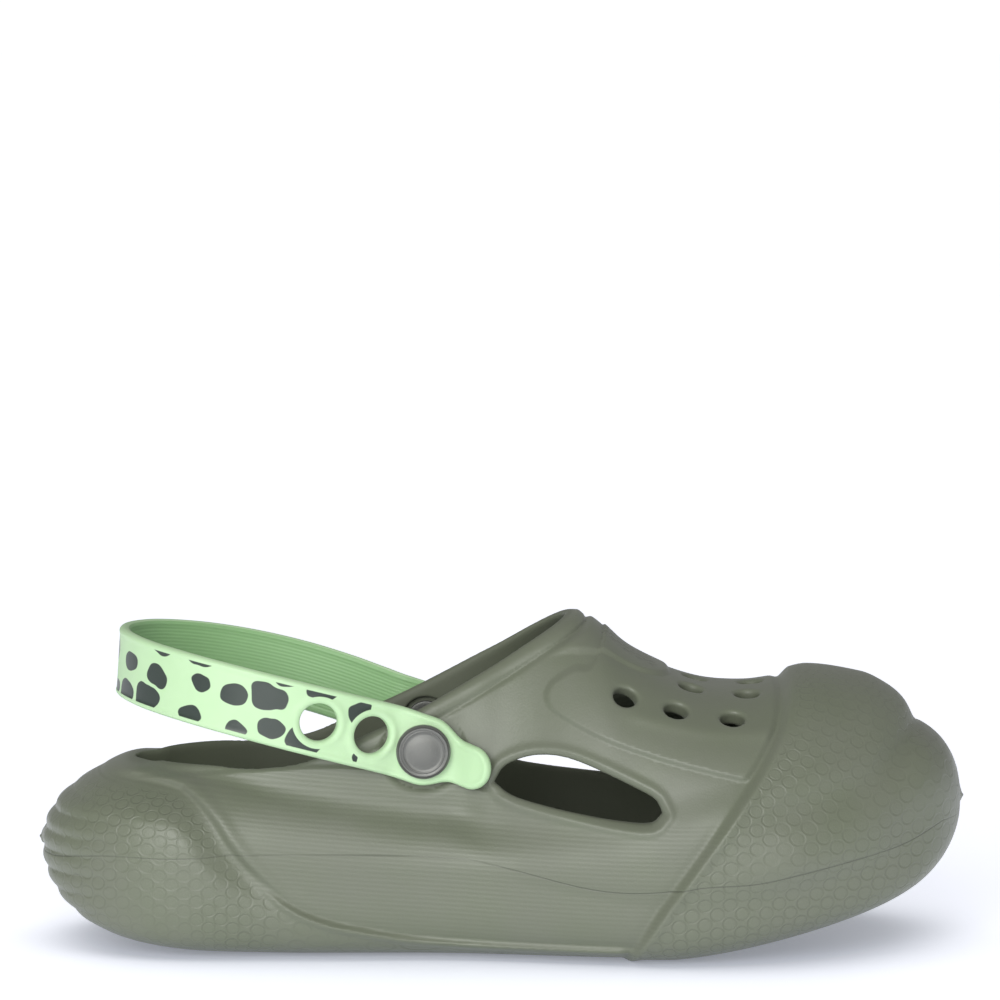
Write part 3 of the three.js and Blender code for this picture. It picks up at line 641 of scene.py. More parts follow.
        def field(x: Array, y: Array, z: Array) -> Array:
            s = self.share(x)
            rim_line = self.rim(s) + np.where(s > self.rim_end, (s - self.rim_end) * 400.0, 0.0)
            over_rim = (z - rim_line) * (0.85 + 0.15 * smooth((-45 - x) / 20))
            made = soft_max(self.skin(x, y, z), over_rim, 2.6)
            made = soft_max(made, -self.hollow(x, y, z), 2.6)
            made = soft_max(made, -self.window_distance(x, z) - 0.35, 2.2)
            for point, normal in vents:
                near = (np.abs(x - point[0]) < 14) & (z > 48)
                if not near.any():
                    continue
                px, py, pz = x - point[0], y - point[1], z - point[2]
                along = px * normal[0] + py * normal[1] + pz * normal[2]
                off = np.sqrt(np.maximum(px * px + py * py + pz * pz - along * along, 0.0))
                hole = np.maximum(off - self.vent_radius, np.abs(along) - 3 * self.wall)
                made = np.where(near, soft_max(made, -hole, 1.5), made)
            return np.maximum(rivet.cut(made, x, y - self.side_shift, z), -z)

        return field


@dataclass(frozen=True)
class RivetPlace:
    """Where the rivets' line crosses the clog, and the cuts that it needs."""

    x: float
    z: float
    wall_outside: float
    recess_floor: float
    bore: float = 2.85
    recess: float = 6.3
    seat: float = 10.4

    def cut(self, made: Array, x: Array, y: Array, z: Array) -> Array:
        """Returns the field less bores right through, round recesses inside, and outside flat seats
        with sloping edges.
        """
        off = np.hypot(x - self.x, z - self.z)
        side = np.abs(y)
        made = soft_max(made, np.maximum(self.bore - off, side - 60), 0.5)
        made = soft_max(made, -np.maximum(off - self.recess, side - self.recess_floor), 0.8)
        ramp = self.wall_outside + 1.4 * np.maximum(off - self.seat, 0.0)
        return soft_max(made, np.where(off < 34, side - ramp, -60.0), 2.6)


# ------------------------------------------------------------------ the strap's path


@dataclass
class StrapBand:
    """The heel strap, cast flat as a band with tabs and button holes and then carried along its path.

    In the flat band, l runs from one tab's tip to the other's, h up across the band and d outwards.
    """

    rivet_x: float
    rivet_z: float
    inside: float
    side_shift: float
    width: float = 18.2
    back_width: float = 17.8
    thickness: float = 2.5
    loop_reach: float = 78.5
    bow: float = 36.0
    rise: float = 19.7
    tab_width: float = 11.4
    tab_length: float = 19.2
    hole_radius: float = 4.85
    hole_pitch: float = 14.6
    spare_holes: int = 2

    def __post_init__(self) -> None:
        """Works out the path and where it passes the rivets."""
        places = self.path_points()
        self.line = self.flowed(places, 80)
        step = np.linalg.norm(np.diff(self.line, axis=0), axis=1)
        self.run = np.r_[0.0, np.cumsum(step)]
        first_half = self.line[: len(self.line) // 2]
        ahead = first_half[:, 0] - self.rivet_x
        passed = int(np.argmax(ahead <= 0))
        share = ahead[passed - 1] / (ahead[passed - 1] - ahead[passed])
        self.first = float(self.run[passed - 1] + share * (self.run[passed] - self.run[passed - 1]))
        self.total = float(self.run[-1])

    def path_points(self) -> Array:
        """Returns the points that the band's middle passes through, from the outer tab to the inner."""
        middle = self.inside + self.thickness / 2
        backs = np.array([-0.235, -0.17, -0.105, 0, 0.09, 0.16, 0.27, 0.43, 0.6, 0.76, 0.91, 0.985])
        sides = np.array(
            [middle + 5.8, middle + 3, middle + 0.1, middle, middle + 0.1, middle + 2.2, self.bow - 2.4]
            + [self.bow, self.bow - 1.2, self.bow * 0.83, self.bow * 0.55, self.bow * 0.23]
        )
        half = np.stack(
            [
                self.rivet_x - backs * self.loop_reach,
                sides,
                self.rivet_z + self.rise * (1.39 * backs - 0.39 * backs * np.abs(backs)),
            ],
            axis=1,
        )
        back = np.array([[self.rivet_x - self.loop_reach, 0.0, self.rivet_z + self.rise]])
        mirror = np.array([1.0, -1.0, 1.0])
        return np.concatenate([half * mirror, back, half[::-1]])

    @staticmethod
    def flowed(points: Array, each: int) -> Array:
        """Returns a centripetal Catmull-Rom curve through the points, with that many steps a span."""
        p = np.concatenate([[2 * points[0] - points[1]], points, [2 * points[-1] - points[-2]]])
        gap = np.sqrt(np.linalg.norm(np.diff(p, axis=0), axis=1))[:, None]
        a, b, c, d = p[:-3], p[1:-2], p[2:-1], p[3:]
        g0, g1, g2 = gap[:-2], gap[1:-1], gap[2:]
        t1 = ((b - a) / g0 - (c - a) / (g0 + g1) + (c - b) / g1) * g1
        t2 = ((c - b) / g1 - (d - b) / (g1 + g2) + (d - c) / g2) * g1
        u = np.linspace(0, 1, each, endpoint=False)[None, :, None]
        b, c, t1, t2 = b[:, None], c[:, None], t1[:, None], t2[:, None]
        spans = b + t1 * u + (3 * (c - b) - 2 * t1 - t2) * u**2 + (2 * (b - c) + t1 + t2) * u**3
        return np.concatenate([spans.reshape(-1, 3), points[-1:]])

    def bent(self, flat: Array) -> Array:
        """Carries points of the flat band (l, h, d) on to the path.

        The path's place at l, plus h along the band's own up and d along its outward normal; up is
        the vertical, leaning a little, less its share along the path.
        """
        centre = np.stack([np.interp(flat[:, 0], self.run, self.line[:, i]) for i in range(3)], axis=1)
        tangents = np.gradient(self.line, self.run, axis=0)
        along = np.stack([np.interp(flat[:, 0], self.run, tangents[:, i]) for i in range(3)], axis=1)
        along /= np.linalg.norm(along, axis=1, keepdims=True)
        up = np.array([0.07, 0.0, 1.0]) - (along @ np.array([0.07, 0.0, 1.0]))[:, None] * along
        up /= np.linalg.norm(up, axis=1, keepdims=True)
        out = np.cross(up, along)
        place = centre + flat[:, 1:2] * up + flat[:, 2:3] * out
        return place + np.array([0.0, self.side_shift, 0.0])

    def inward(self, along: Array) -> Array:
        """Returns how far a place lies behind the nearest rivet, negative on a tab."""
        return np.minimum(along - self.first, self.total - self.first - along)

    def hole_distance(self, along: Array, height: Array) -> Array:
        """Returns the distance to the nearest button hole's middle."""
        back = self.inward(along)
        best = np.hypot(back, height)
        outer = along < self.total / 2
        for i in range(1, self.spare_holes + 1):
            spare = np.hypot(back - i * self.hole_pitch, height)
            best = np.where(outer, np.minimum(best, spare), best)
        return best

    def field(self, along: Array, height: Array, depth: Array) -> Array:
        """Returns the flat band's field: a plate of the band's outline with rounded edges, less its
        holes, with a low bead round each hole.
        """
        back = self.inward(along)
        narrowing = smooth(back / self.loop_reach - 0.2)
        half = (self.width - (self.width - self.back_width) * narrowing) / 2
        band = np.where(back > 0, np.abs(height), np.hypot(back, height)) - half
        tab = self.tab_width / 2
        tip = -(self.tab_length - tab)
        tongue = np.where(back > tip, np.abs(height), np.hypot(back - tip, height)) - tab
        outline = -soft_max(-band, -np.where(back > 6, 9.0, tongue), 2.5)
        ring = self.hole_distance(along, height)
        bead = 0.3 * hump(ring - self.hole_radius - 1.3, 0.9)
        rim = 0.25 * hump(outline + 0.9, 0.7)
        plate = np.abs(depth) - self.thickness / 2 - np.where(depth > 0, bead, 0.3 * bead) - rim
        made = soft_max(outline, plate, 1.5)
        return soft_max(made, self.hole_radius - ring, 0.9)


# ------------------------------------------------------------------ shader helpers


class Nodes:
    """A short hand for one node tree: adds nodes, sets their sockets and links them."""

    def __init__(self, tree: bpy.types.NodeTree) -> None:
        """Keeps the tree that it works on."""
        self.tree = tree

    def add(self, kind: str, inputs: dict | None = None, **settings: object) -> bpy.types.Node:
        """Adds a node.

        Args:
            kind: type name without its ShaderNode prefix.
            inputs: values or other nodes' outputs for its sockets, by name or number.
            settings: the node's own properties.

        Returns:
            The node.
        """
        node = self.tree.nodes.new(kind if kind.startswith("Node") else "ShaderNode" + kind)
        for key, value in settings.items():
            setattr(node, key, value)
        for key, value in (inputs or {}).items():
            socket = node.inputs[key]
            if isinstance(value, bpy.types.NodeSocket):
                self.tree.links.new(value, socket)
            else:
                socket.default_value = value
        return node

    def math(self, operation: str, *values: object) -> bpy.types.NodeSocket:
        """Returns the result of a Math node on the values."""
        return self.add("Math", dict(enumerate(values)), operation=operation).outputs[0]

    def band(self, value: object, start: float, end: float, low: float = 0.0, high: float = 1.0) -> object:
        """Returns value mapped smoothly from start..end to low..high."""
        names = {"Value": value, "From Min": start, "From Max": end, "To Min": low, "To Max": high}
        return self.add("MapRange", names, interpolation_type="SMOOTHSTEP").outputs[0]

    def mix(self, share: object, first: object, second: object) -> bpy.types.NodeSocket:
        """Returns first and second colours mixed by share."""
        node = self.add("Mix", data_type="RGBA")
        for socket, value in zip((node.inputs[0], node.inputs[6], node.inputs[7]), (share, first, second)):
            if isinstance(value, bpy.types.NodeSocket):
                self.tree.links.new(value, socket)
            else:
                socket.default_value = value
        return node.outputs[2]

    def attribute(self, name: str) -> bpy.types.Node:
        """Returns a node that reads a piece's own attribute."""
        return self.add("Attribute", attribute_name=name)

    def noise(self, vector: object, scale: float, detail: float = 3.0, rough: float = 0.5) -> object:
        """Returns a noise texture's height."""
        names = {"Vector": vector, "Scale": scale, "Detail": detail, "Roughness": rough}
        return self.add("TexNoise", names).outputs[0]


def colour(red: float, green: float, blue: float) -> Colour:
    """Returns a shader colour from its sRGB shares of 255."""
    shares = [v / 255.0 for v in (red, green, blue)]
    linear = [v / 12.92 if v < 0.04045 else ((v + 0.055) / 1.055) ** 2.4 for v in shares]
    return (*linear, 1.0)


def effect_group(name: str, inputs: dict[str, str], outputs: dict[str, str]) -> tuple[object, Nodes, object]:
    """Starts a node group for an effect that several materials use.

    Args:
        name: group's name.
        inputs: socket types by name.
        outputs: socket types by name.

    Returns:
        The group, a helper for its tree, and its Group Input and Group Output nodes.
    """
    tree = bpy.data.node_groups.new(name, "ShaderNodeTree")
    for side, sockets in (("INPUT", inputs), ("OUTPUT", outputs)):
        for socket, kind in sockets.items():
            tree.interface.new_socket(socket, in_out=side, socket_type="NodeSocket" + kind)
    n = Nodes(tree)
    return tree, n, (n.add("NodeGroupInput"), n.add("NodeGroupOutput"))


@dataclass
class Effects:
    """The node groups that the finishes share."""

    grain: bpy.types.NodeTree | None = None
    rings: bpy.types.NodeTree | None = None

    def __post_init__(self) -> None:
        """Builds each group once."""
        self.grain = self.make_grain()
        self.rings = self.make_rings()

    @staticmethod
    def make_grain() -> bpy.types.NodeTree:
        """Builds moulded grain: fine and coarse noise as a height, and slow patches as a shade mask."""
        names = {"Vector": "Vector", "Fine": "Float", "Coarse": "Float"}
        tree, n, (start, end) = effect_group("moulded_grain", names, {"Height": "Float", "Patches": "Float"})
        vector = start.outputs["Vector"]
        fine = n.math("MULTIPLY", n.noise(vector, 1900.0, 2.0), start.outputs["Fine"])
        coarse = n.math("MULTIPLY", n.noise(vector, 420.0, 3.0), start.outputs["Coarse"])
        n.tree.links.new(n.math("ADD", fine, coarse), end.inputs["Height"])
        n.tree.links.new(n.band(n.noise(vector, 38.0, 4.0, 0.6), 0.3, 0.7), end.inputs["Patches"])
        return tree

    @staticmethod
    def make_rings() -> bpy.types.NodeTree:
        """Builds a staggered lattice of small rings over a skin map in millimetres: two square lattices,
        the second half a pitch along and up, each with a thin oval ring round its cells' middles.
        """
        names = {"Skin": "Vector", "Pitch": "Float", "Row": "Float", "Radius": "Float", "Squash": "Float"}
        tree, n, (start, end) = effect_group("ring_lattice", names, {"Line": "Float", "Inside": "Float"})
        axes = n.add("SeparateXYZ", {0: start.outputs["Skin"]})
        masks = []
        for offset in (0.0, 0.5):
            parts = []
            for axis, pitch in ((0, "Pitch"), (1, "Row")):
                cells = n.math("DIVIDE", axes.outputs[axis], start.outputs[pitch])
                inner = n.math("SUBTRACT", n.math("FRACT", n.math("ADD", cells, offset)), 0.5)
                parts.append(n.math("MULTIPLY", inner, start.outputs[pitch]))
            parts[1] = n.math("MULTIPLY", parts[1], start.outputs["Squash"])
            squares = [n.math("MULTIPLY", part, part) for part in parts]
            masks.append(n.math("SQRT", n.math("ADD", *squares)))
        nearest = n.math("MINIMUM", *masks)
        off = n.math("SUBTRACT", nearest, start.outputs["Radius"])
        n.tree.links.new(n.band(n.math("ABSOLUTE", off), 0.08, 0.36, 1.0, 0.0), end.inputs["Line"])
        n.tree.links.new(n.band(off, -0.3, 0.0, 1.0, 0.0), end.inputs["Inside"])
        return tree

    def use(self, n: Nodes, tree: bpy.types.NodeTree, inputs: dict[str, object]) -> bpy.types.Node:
        """Returns a copy of a group in a material's tree, with its own values."""
        node = n.add("Group", node_tree=tree)
        for key, value in inputs.items():
            if isinstance(value, bpy.types.NodeSocket):
                n.tree.links.new(value, node.inputs[key])
            else:
                node.inputs[key].default_value = value
        return node


def new_material(name: str) -> tuple[bpy.types.Material, Nodes, bpy.types.Node]:
    """Returns a material with one Principled shader, a helper for its tree, and the shader."""
    material = bpy.data.materials.new(name)
    material.use_nodes = True
    n = Nodes(material.node_tree)
    return material, n, material.node_tree.nodes["Principled BSDF"]


# ------------------------------------------------------------------ finishes


class Zone(Enum):
    """The parts of the moulding's skin that have their own texture, and its inside, which is painted darker
    as shade.
    """

    RINGS = "rings"
    RIBS = "ribs"
    DOTS = "dots"
    SHADED_INSIDE = "shaded_inside"


@dataclass(frozen=True)
class FoamFinish:
    """Moulded foam: satin olive with a fine grain, ring and rib textures and a thin parting line, with
    painted shade in the rings', ribs' and dots' grooves and on the moulding's inside.
    """

    base: Colour = colour(103, 109, 91)
    shade: Colour = colour(88, 93, 76)
    dust: Colour = colour(109, 112, 100)
    line: Colour = colour(66, 70, 58)
    roughness: float = 0.4
    rib_pitch: float = 1.18

    def make(self, effects: Effects) -> bpy.types.Material:
        """Builds the material.

        Args:
            effects: shared node groups.

        Returns:
            The material. It reads the piece's attributes rings, ribs, shaded_inside, dots, skin, rib_run
            and parting.
        """
        material, n, shader = new_material("olive_foam")
        place = n.add("TexCoord").outputs["Object"]
        grain = effects.use(n, effects.grain, {"Vector": place, "Fine": 0.5, "Coarse": 0.4})
        patches = grain.outputs["Patches"]
        zone = {each: n.attribute(each.value).outputs["Fac"] for each in Zone}
        names = {"Skin": n.attribute("skin").outputs["Vector"], "Pitch": 6.5, "Row": 4.2}
        lattice = effects.use(n, effects.rings, {**names, "Radius": 1.75, "Squash": 1.3})
        worn = n.band(n.noise(place, 30.0, 2.0), 0.3, 0.62, 0.25, 1.0)
        ring = n.math("MULTIPLY", n.math("MULTIPLY", lattice.outputs["Line"], zone[Zone.RINGS]), worn)
        island = n.math("MULTIPLY", lattice.outputs["Inside"], zone[Zone.RINGS])
        run = n.attribute("rib_run").outputs["Fac"]
        wave = n.math("SINE", n.math("MULTIPLY", run, 2 * math.pi / self.rib_pitch))
        rib = n.math("MULTIPLY", n.math("MULTIPLY_ADD", wave, 0.5, 0.5), zone[Zone.RIBS])
        away = n.math("ABSOLUTE", n.attribute("parting").outputs["Fac"])
        faint = n.band(n.noise(place, 22.0, 2.0), 0.35, 0.6, 0.3, 1.0)
        outer = n.math("SUBTRACT", 1.0, zone[Zone.SHADED_INSIDE])
        seam = n.math("MULTIPLY", n.math("MULTIPLY", n.band(away, 0.06, 0.28, 1.0, 0.0), outer), faint)
        plan = n.add("VectorMath", {0: place, 3: 1000.0}, operation="SCALE").outputs[0]
        dots = {"Skin": plan, "Pitch": 3.4, "Row": 3.4, "Radius": 0.95, "Squash": 1.0}
        marks = n.math("MULTIPLY", effects.use(n, effects.rings, dots).outputs["Inside"], zone[Zone.DOTS])
        tint = n.mix(n.math("MULTIPLY", patches, 0.5), self.base, self.dust)
        # Painted shade: the ring grooves, the rib grooves, the pad's dimples and the moulding's inside are
        # mixed towards the darker shade colour.
        for share, mask in ((0.35, ring), (0.13, rib), (0.7, marks), (0.5, zone[Zone.SHADED_INSIDE])):
            tint = n.mix(n.math("MULTIPLY", mask, share), tint, self.shade)
        n.tree.links.new(n.mix(n.math("MULTIPLY", seam, 0.6), tint, self.line), shader.inputs["Base Color"])
        rough = n.math("MULTIPLY_ADD", patches, 0.1, self.roughness - 0.05)
        rough = n.math("MULTIPLY_ADD", zone[Zone.SHADED_INSIDE], 0.2, rough)
        n.tree.links.new(n.math("MULTIPLY_ADD", rib, 0.08, rough), shader.inputs["Roughness"])
        height = grain.outputs["Height"]
        for depth, mask in ((-1.4, ring), (-0.8, island), (-0.3, rib), (-1.0, seam), (-4.0, marks)):
            height = n.math("MULTIPLY_ADD", mask, depth, height)
        bump = n.add("Bump", {"Height": height, "Strength": 0.55, "Distance": 0.00014})
        n.tree.links.new(bump.outputs[0], shader.inputs["Normal"])
        shader.inputs["Specular IOR Level"].default_value = 0.45
        shader.inputs["Sheen Weight"].default_value = 0.05
        shader.inputs["Sheen Roughness"].default_value = 0.5
        return material


@dataclass(frozen=True)
class LinerFinish:
    """Charcoal foam liner: matt, with shallow dots painted darker as shade and a fine closed-cell grain."""

    base: Colour = colour(50, 52, 53)
    dimple_shade: Colour = colour(40, 42, 43)
    worn: Colour = colour(60, 62, 62)

    def make(self, effects: Effects) -> bpy.types.Material:
        """Builds the material from the shared grain and a wide lattice of dots."""
        material, n, shader = new_material("charcoal_liner")
        place = n.add("TexCoord").outputs["Object"]
        grain = effects.use(n, effects.grain, {"Vector": place, "Fine": 0.8, "Coarse": 0.8})
        plan = n.add("VectorMath", {0: place, 3: 1000.0}, operation="SCALE").outputs[0]
        spacing = {"Skin": plan, "Pitch": 5.0, "Row": 5.0, "Radius": 0.9, "Squash": 1.0}
        dots = effects.use(n, effects.rings, spacing)
        # Painted shade: the dots' dimples are mixed to a darker charcoal.
        tint = n.mix(n.math("MULTIPLY", dots.outputs["Inside"], 0.7), self.base, self.dimple_shade)
        worn = n.mix(n.math("MULTIPLY", grain.outputs["Patches"], 0.25), tint, self.worn)
        n.tree.links.new(worn, shader.inputs["Base Color"])
        rough = n.math("MULTIPLY_ADD", grain.outputs["Patches"], 0.12, 0.78)
        n.tree.links.new(rough, shader.inputs["Roughness"])
        height = n.math("MULTIPLY_ADD", dots.outputs["Inside"], -2.0, grain.outputs["Height"])
        bump = n.add("Bump", {"Height": height, "Strength": 0.6, "Distance": 0.0002})
        n.tree.links.new(bump.outputs[0], shader.inputs["Normal"])
        return material


@dataclass(frozen=True)
class StrapFinish:
    """Light green rubber, printed outside with irregular dark spots inside a plain border; its inside face
    is painted a deeper green as shade, with painted shade stripes along its ribs.
    """

    base: Colour = colour(186, 217, 173)
    deep_green_and_shade: Colour = colour(146, 188, 133)
    spot: Colour = colour(44, 55, 48)
    rib_shade: Colour = colour(122, 166, 108)
    rib_pitch: float = 0.9

    def make(self, effects: Effects) -> bpy.types.Material:
        """Builds the material. It reads the piece's attributes band (l, h and d in millimetres) and print
        (1 where the print may lie).
        """
        material, n, shader = new_material("spotted_strap")
        place = n.add("TexCoord").outputs["Object"]
        grain = effects.use(n, effects.grain, {"Vector": place, "Fine": 0.25, "Coarse": 0.25})
        band = n.attribute("band").outputs["Vector"]
        allowed = n.attribute("print").outputs["Fac"]
        bend = n.add("TexNoise", {"Vector": band, "Scale": 0.16, "Detail": 1.0})
        drift = n.add("VectorMath", {0: bend.outputs["Color"], 1: (0.5, 0.5, 0.5)}, operation="SUBTRACT")
        moved = n.add("VectorMath", {0: drift.outputs[0], 3: 3.0}, operation="SCALE")
        warped = n.add("VectorMath", {0: band, 1: moved.outputs[0]}, operation="ADD").outputs[0]
        flat = n.add("VectorMath", {0: warped, 1: (0.086, 0.116, 0.0)}, operation="MULTIPLY").outputs[0]
        names = {"Vector": flat, "Scale": 1.0, "Randomness": 0.55}
        cells = n.add("TexVoronoi", names, voronoi_dimensions="2D")
        edges = n.add("TexVoronoi", names, voronoi_dimensions="2D", feature="DISTANCE_TO_EDGE")
        shade = n.add("SeparateColor", {0: cells.outputs["Color"]})
        size = n.math("MULTIPLY_ADD", shade.outputs[0], 0.26, 0.23)
        round_part = n.math("SUBTRACT", size, cells.outputs["Distance"])
        gap = n.math("SUBTRACT", edges.outputs["Distance"], 0.01)
        spots = n.band(n.math("SMOOTH_MIN", round_part, gap, 0.2), -0.01, 0.01)
        spots = n.math("MULTIPLY", spots, n.band(allowed, 0.35, 0.65))
        axes = n.add("SeparateXYZ", {0: band})
        behind = n.band(axes.outputs["Z"], -0.9, -1.1)
        rib = n.math("SINE", n.math("MULTIPLY", axes.outputs["Y"], 2 * math.pi / self.rib_pitch))
        rib = n.math("MULTIPLY", n.math("MULTIPLY_ADD", rib, 0.5, 0.5), behind)
        plain = n.mix(n.math("MULTIPLY", grain.outputs["Patches"], 0.2), self.base, self.deep_green_and_shade)
        # Painted shade: the inside face is mixed to the deeper green.
        inner_face_shaded = n.mix(behind, plain, self.deep_green_and_shade)
        # Painted shade: stripes along the inside face's ribs are mixed to a darker green.
        inner_face_shaded = n.mix(n.math("MULTIPLY", rib, 0.2), inner_face_shaded, self.rib_shade)
        n.tree.links.new(n.mix(spots, inner_face_shaded, self.spot), shader.inputs["Base Color"])
        rough = n.math("MULTIPLY_ADD", grain.outputs["Patches"], 0.06, 0.46)
        n.tree.links.new(n.math("MULTIPLY_ADD", spots, -0.16, rough), shader.inputs["Roughness"])
        height = n.math("MULTIPLY_ADD", rib, 0.9, grain.outputs["Height"])
        height = n.math("MULTIPLY_ADD", spots, 0.6, height)
        bump = n.add("Bump", {"Height": height, "Strength": 0.45, "Distance": 0.00012})
        n.tree.links.new(bump.outputs[0], shader.inputs["Normal"])
        shader.inputs["Subsurface Weight"].default_value = 0.12
        shader.inputs["Subsurface Radius"].default_value = (0.002, 0.0025, 0.0015)
        return material


@dataclass(frozen=True)
class RivetFinish:
    """Warm grey moulded plastic, satin, with faint turning rings whose ridges are painted lighter as
    highlights, and small scuffs.
    """

    base: Colour = colour(98, 99, 95)
    scuff_and_glint: Colour = colour(120, 121, 116)

    def make(self, effects: Effects) -> bpy.types.Material:
        """Builds the material. It reads the piece's attribute turn, the radius in millimetres."""
        material, n, shader = new_material("grey_rivet")
        place = n.add("TexCoord").outputs["Object"]
        grain = effects.use(n, effects.grain, {"Vector": place, "Fine": 0.3, "Coarse": 0.4})
        radius = n.attribute("turn").outputs["Fac"]
        lathe = n.math("MULTIPLY_ADD", n.math("SINE", n.math("MULTIPLY", radius, 16.0)), 0.5, 0.5)
        scratched = n.band(n.noise(place, 900.0, 4.0, 0.7), 0.56, 0.7)
        tint = n.mix(n.math("MULTIPLY", scratched, 0.35), self.base, self.scuff_and_glint)
        # Painted highlight: the turning rings' ridges are mixed towards the lighter grey.
        lined = n.mix(n.math("MULTIPLY", lathe, 0.08), tint, self.scuff_and_glint)
        n.tree.links.new(lined, shader.inputs["Base Color"])
        shader.inputs["Metallic"].default_value = 0.4
        rough = n.math("MULTIPLY_ADD", grain.outputs["Patches"], 0.1, 0.26)
        n.tree.links.new(rough, shader.inputs["Roughness"])
        height = n.math("MULTIPLY_ADD", lathe, 0.35, grain.outputs["Height"])
        bump = n.add("Bump", {"Height": height, "Strength": 0.3, "Distance": 0.0001})
        n.tree.links.new(bump.outputs[0], shader.inputs["Normal"])
        return material


# ------------------------------------------------------------------ sub-assemblies


@dataclass
class Upper:
    """The foam moulding and the liner inside it."""

    foam: Foam
    rivet: RivetPlace
    quick: bool

    def build_moulding(self, finish: bpy.types.Material) -> bpy.types.Object:
        """Casts the moulding, thins it, settles it on its field and takes its normals from the field."""
        field = self.foam.body(self.rivet)
        step = 1.1 if self.quick else 0.62
        rough = Mould((-122.0, -51.0, -1.5), (122.0, 51.0, 90.0), (step, step, step)).cast(field)
        LOG.info("foam cast with %d cells", len(rough[0]))
        vertices, faces = thinned(to_object("foam_cast", *rough), 90000 if self.quick else 196000)
        vertices = settle(field, vertices, 3, 0.25)
        normals = slope(field, vertices)
        normals /= np.maximum(np.linalg.norm(normals, axis=1, keepdims=True), 1e-6)
        piece = to_object("foam_moulding", vertices, faces)
        piece.data.normals_split_custom_set_from_vertices([tuple(v) for v in normals])
        self.note_zones(piece, vertices)
        piece.data.materials.append(finish)
        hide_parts("clog_body")
        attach(piece, "shell")
        return piece

    def note_zones(self, piece: bpy.types.Object, vertices: Array) -> None:
        """Stores where each texture lies, where the inside's painted shade lies, and a skin map in
        millimetres for the rings.

        The map is the bearing and the elevation of a vertex seen from a point inside the toe or the
        heel, times a mean radius, so its rows run level round each cap.
        """
        x, y, z = vertices.T
        foam = self.foam
        outside = smooth((foam.skin(x, y, z) + 1.2) / 0.8)
        outside = outside * smooth((foam.collar_distance(x, z) + 1.0) / 1.5)
        toe = smooth((foam.toe_side(x, z) - 1.6) / 1.2)
        heel = smooth((foam.heel_side(x, z) - 1.6) / 1.2) * smooth((40 - x) / 6)
        under = smooth((foam.ribs_top(x) - z) / 0.8)
        lip = smooth((foam.window_distance(x, z) - 2.6) / 0.8)
        pad = smooth(9.5 - np.abs(y - foam.side_shift)) * smooth(x - 25.5) * smooth(40 - x)
        note(piece, Zone.RINGS.value, np.clip(toe + heel * smooth((45 - z) / 3), 0, 1) * outside)
        note(piece, Zone.RIBS.value, (1 - toe) * (1 - heel) * under * lip * outside)
        note(piece, Zone.DOTS.value, pad * smooth(z - 68) * outside)
        # The moulding's inside: its colour is painted darker there as shade, and it is rougher.
        note(piece, Zone.SHADED_INSIDE.value, 1 - outside)
        note(piece, "rib_run", z - 0.0005 * (x - 40) ** 2)
        note(piece, "parting", z - foam.parting(x))
        ahead = x > 0
        px = np.where(ahead, x - 55.0, -75.0 - x)
        py, pz = y, z - np.where(ahead, 34.0, 27.0)
        flat = np.hypot(px, py)
        bearing = (np.arctan2(py, px) + math.pi / 2) * np.where(ahead, 47.0, 38.0)
        rise = np.arctan2(pz, flat) * np.where(ahead, 42.0, 36.0)
        note(piece, "skin", np.stack([bearing, rise, np.zeros_like(x)], axis=1))

    def build_liner(self, finish: bpy.types.Material) -> bpy.types.Object:
        """Casts the loose insole: the hollow taken in by a clearance, below a gently dished top."""
        foam = self.foam

        def field(x: Array, y: Array, z: Array) -> Array:
            s = foam.share(x)
            off = (y - foam.centre(s)) / 30.0
            top = foam.footbed(s) + 3.6 + 0.9 * off * off
            return soft_max(foam.hollow(x, y, z, 0.4), z - top, 1.8)

        step = 1.2 if self.quick else 0.8
        cast = Mould((-97.0, -40.0, 11.0), (103.0, 41.0, 30.0), (step, step, step / 2)).cast(field)
        vertices = settle(field, cast[0], 2, 0.25)
        piece = to_object("footbed_liner", vertices, cast[1])
        piece.data.materials.append(finish)
        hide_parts("insole")
        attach(piece, "shell")
        return piece


@dataclass
class Strap:
    """The heel strap."""

    band: StrapBand
    quick: bool

    def build(self, finish: bpy.types.Material) -> bpy.types.Object:
        """Casts the flat band, notes where its print lies, and carries it along its path."""
        band = self.band
        step = 0.6 if self.quick else 0.4
        start = band.first - band.tab_length
        low = (start - 1.0, -10.5, -2.4)
        high = (band.total - start + 1.0, 10.5, 2.4)
        flat, faces = Mould(low, high, (step, step, step * 0.75)).cast(band.field)
        flat = settle(band.field, flat, 2, 0.2)
        piece = to_object("spotted_band", band.bent(flat), faces)
        note(piece, "band", flat)
        back = band.inward(flat[:, 0])
        narrowing = smooth(back / band.loop_reach - 0.2)
        half = (band.width - (band.width - band.back_width) * narrowing) / 2
        edge = half - 1.5 - np.abs(flat[:, 1])
        ring = band.hole_distance(flat[:, 0], flat[:, 1]) - band.hole_radius - 1.9
        room = np.minimum(np.minimum(edge, ring), back - 17.0)
        note(piece, "print", np.clip(room / 0.6 + 0.5, 0, 1) * (flat[:, 2] > 0.6))
        piece.data.materials.append(finish)
        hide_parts("heel_strap")
        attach(piece, "strap")
        return piece


class Side(Enum):
    """The two sides of the clog, with the sign of Y that each lies on."""

    OUTER = -1
    INNER = 1


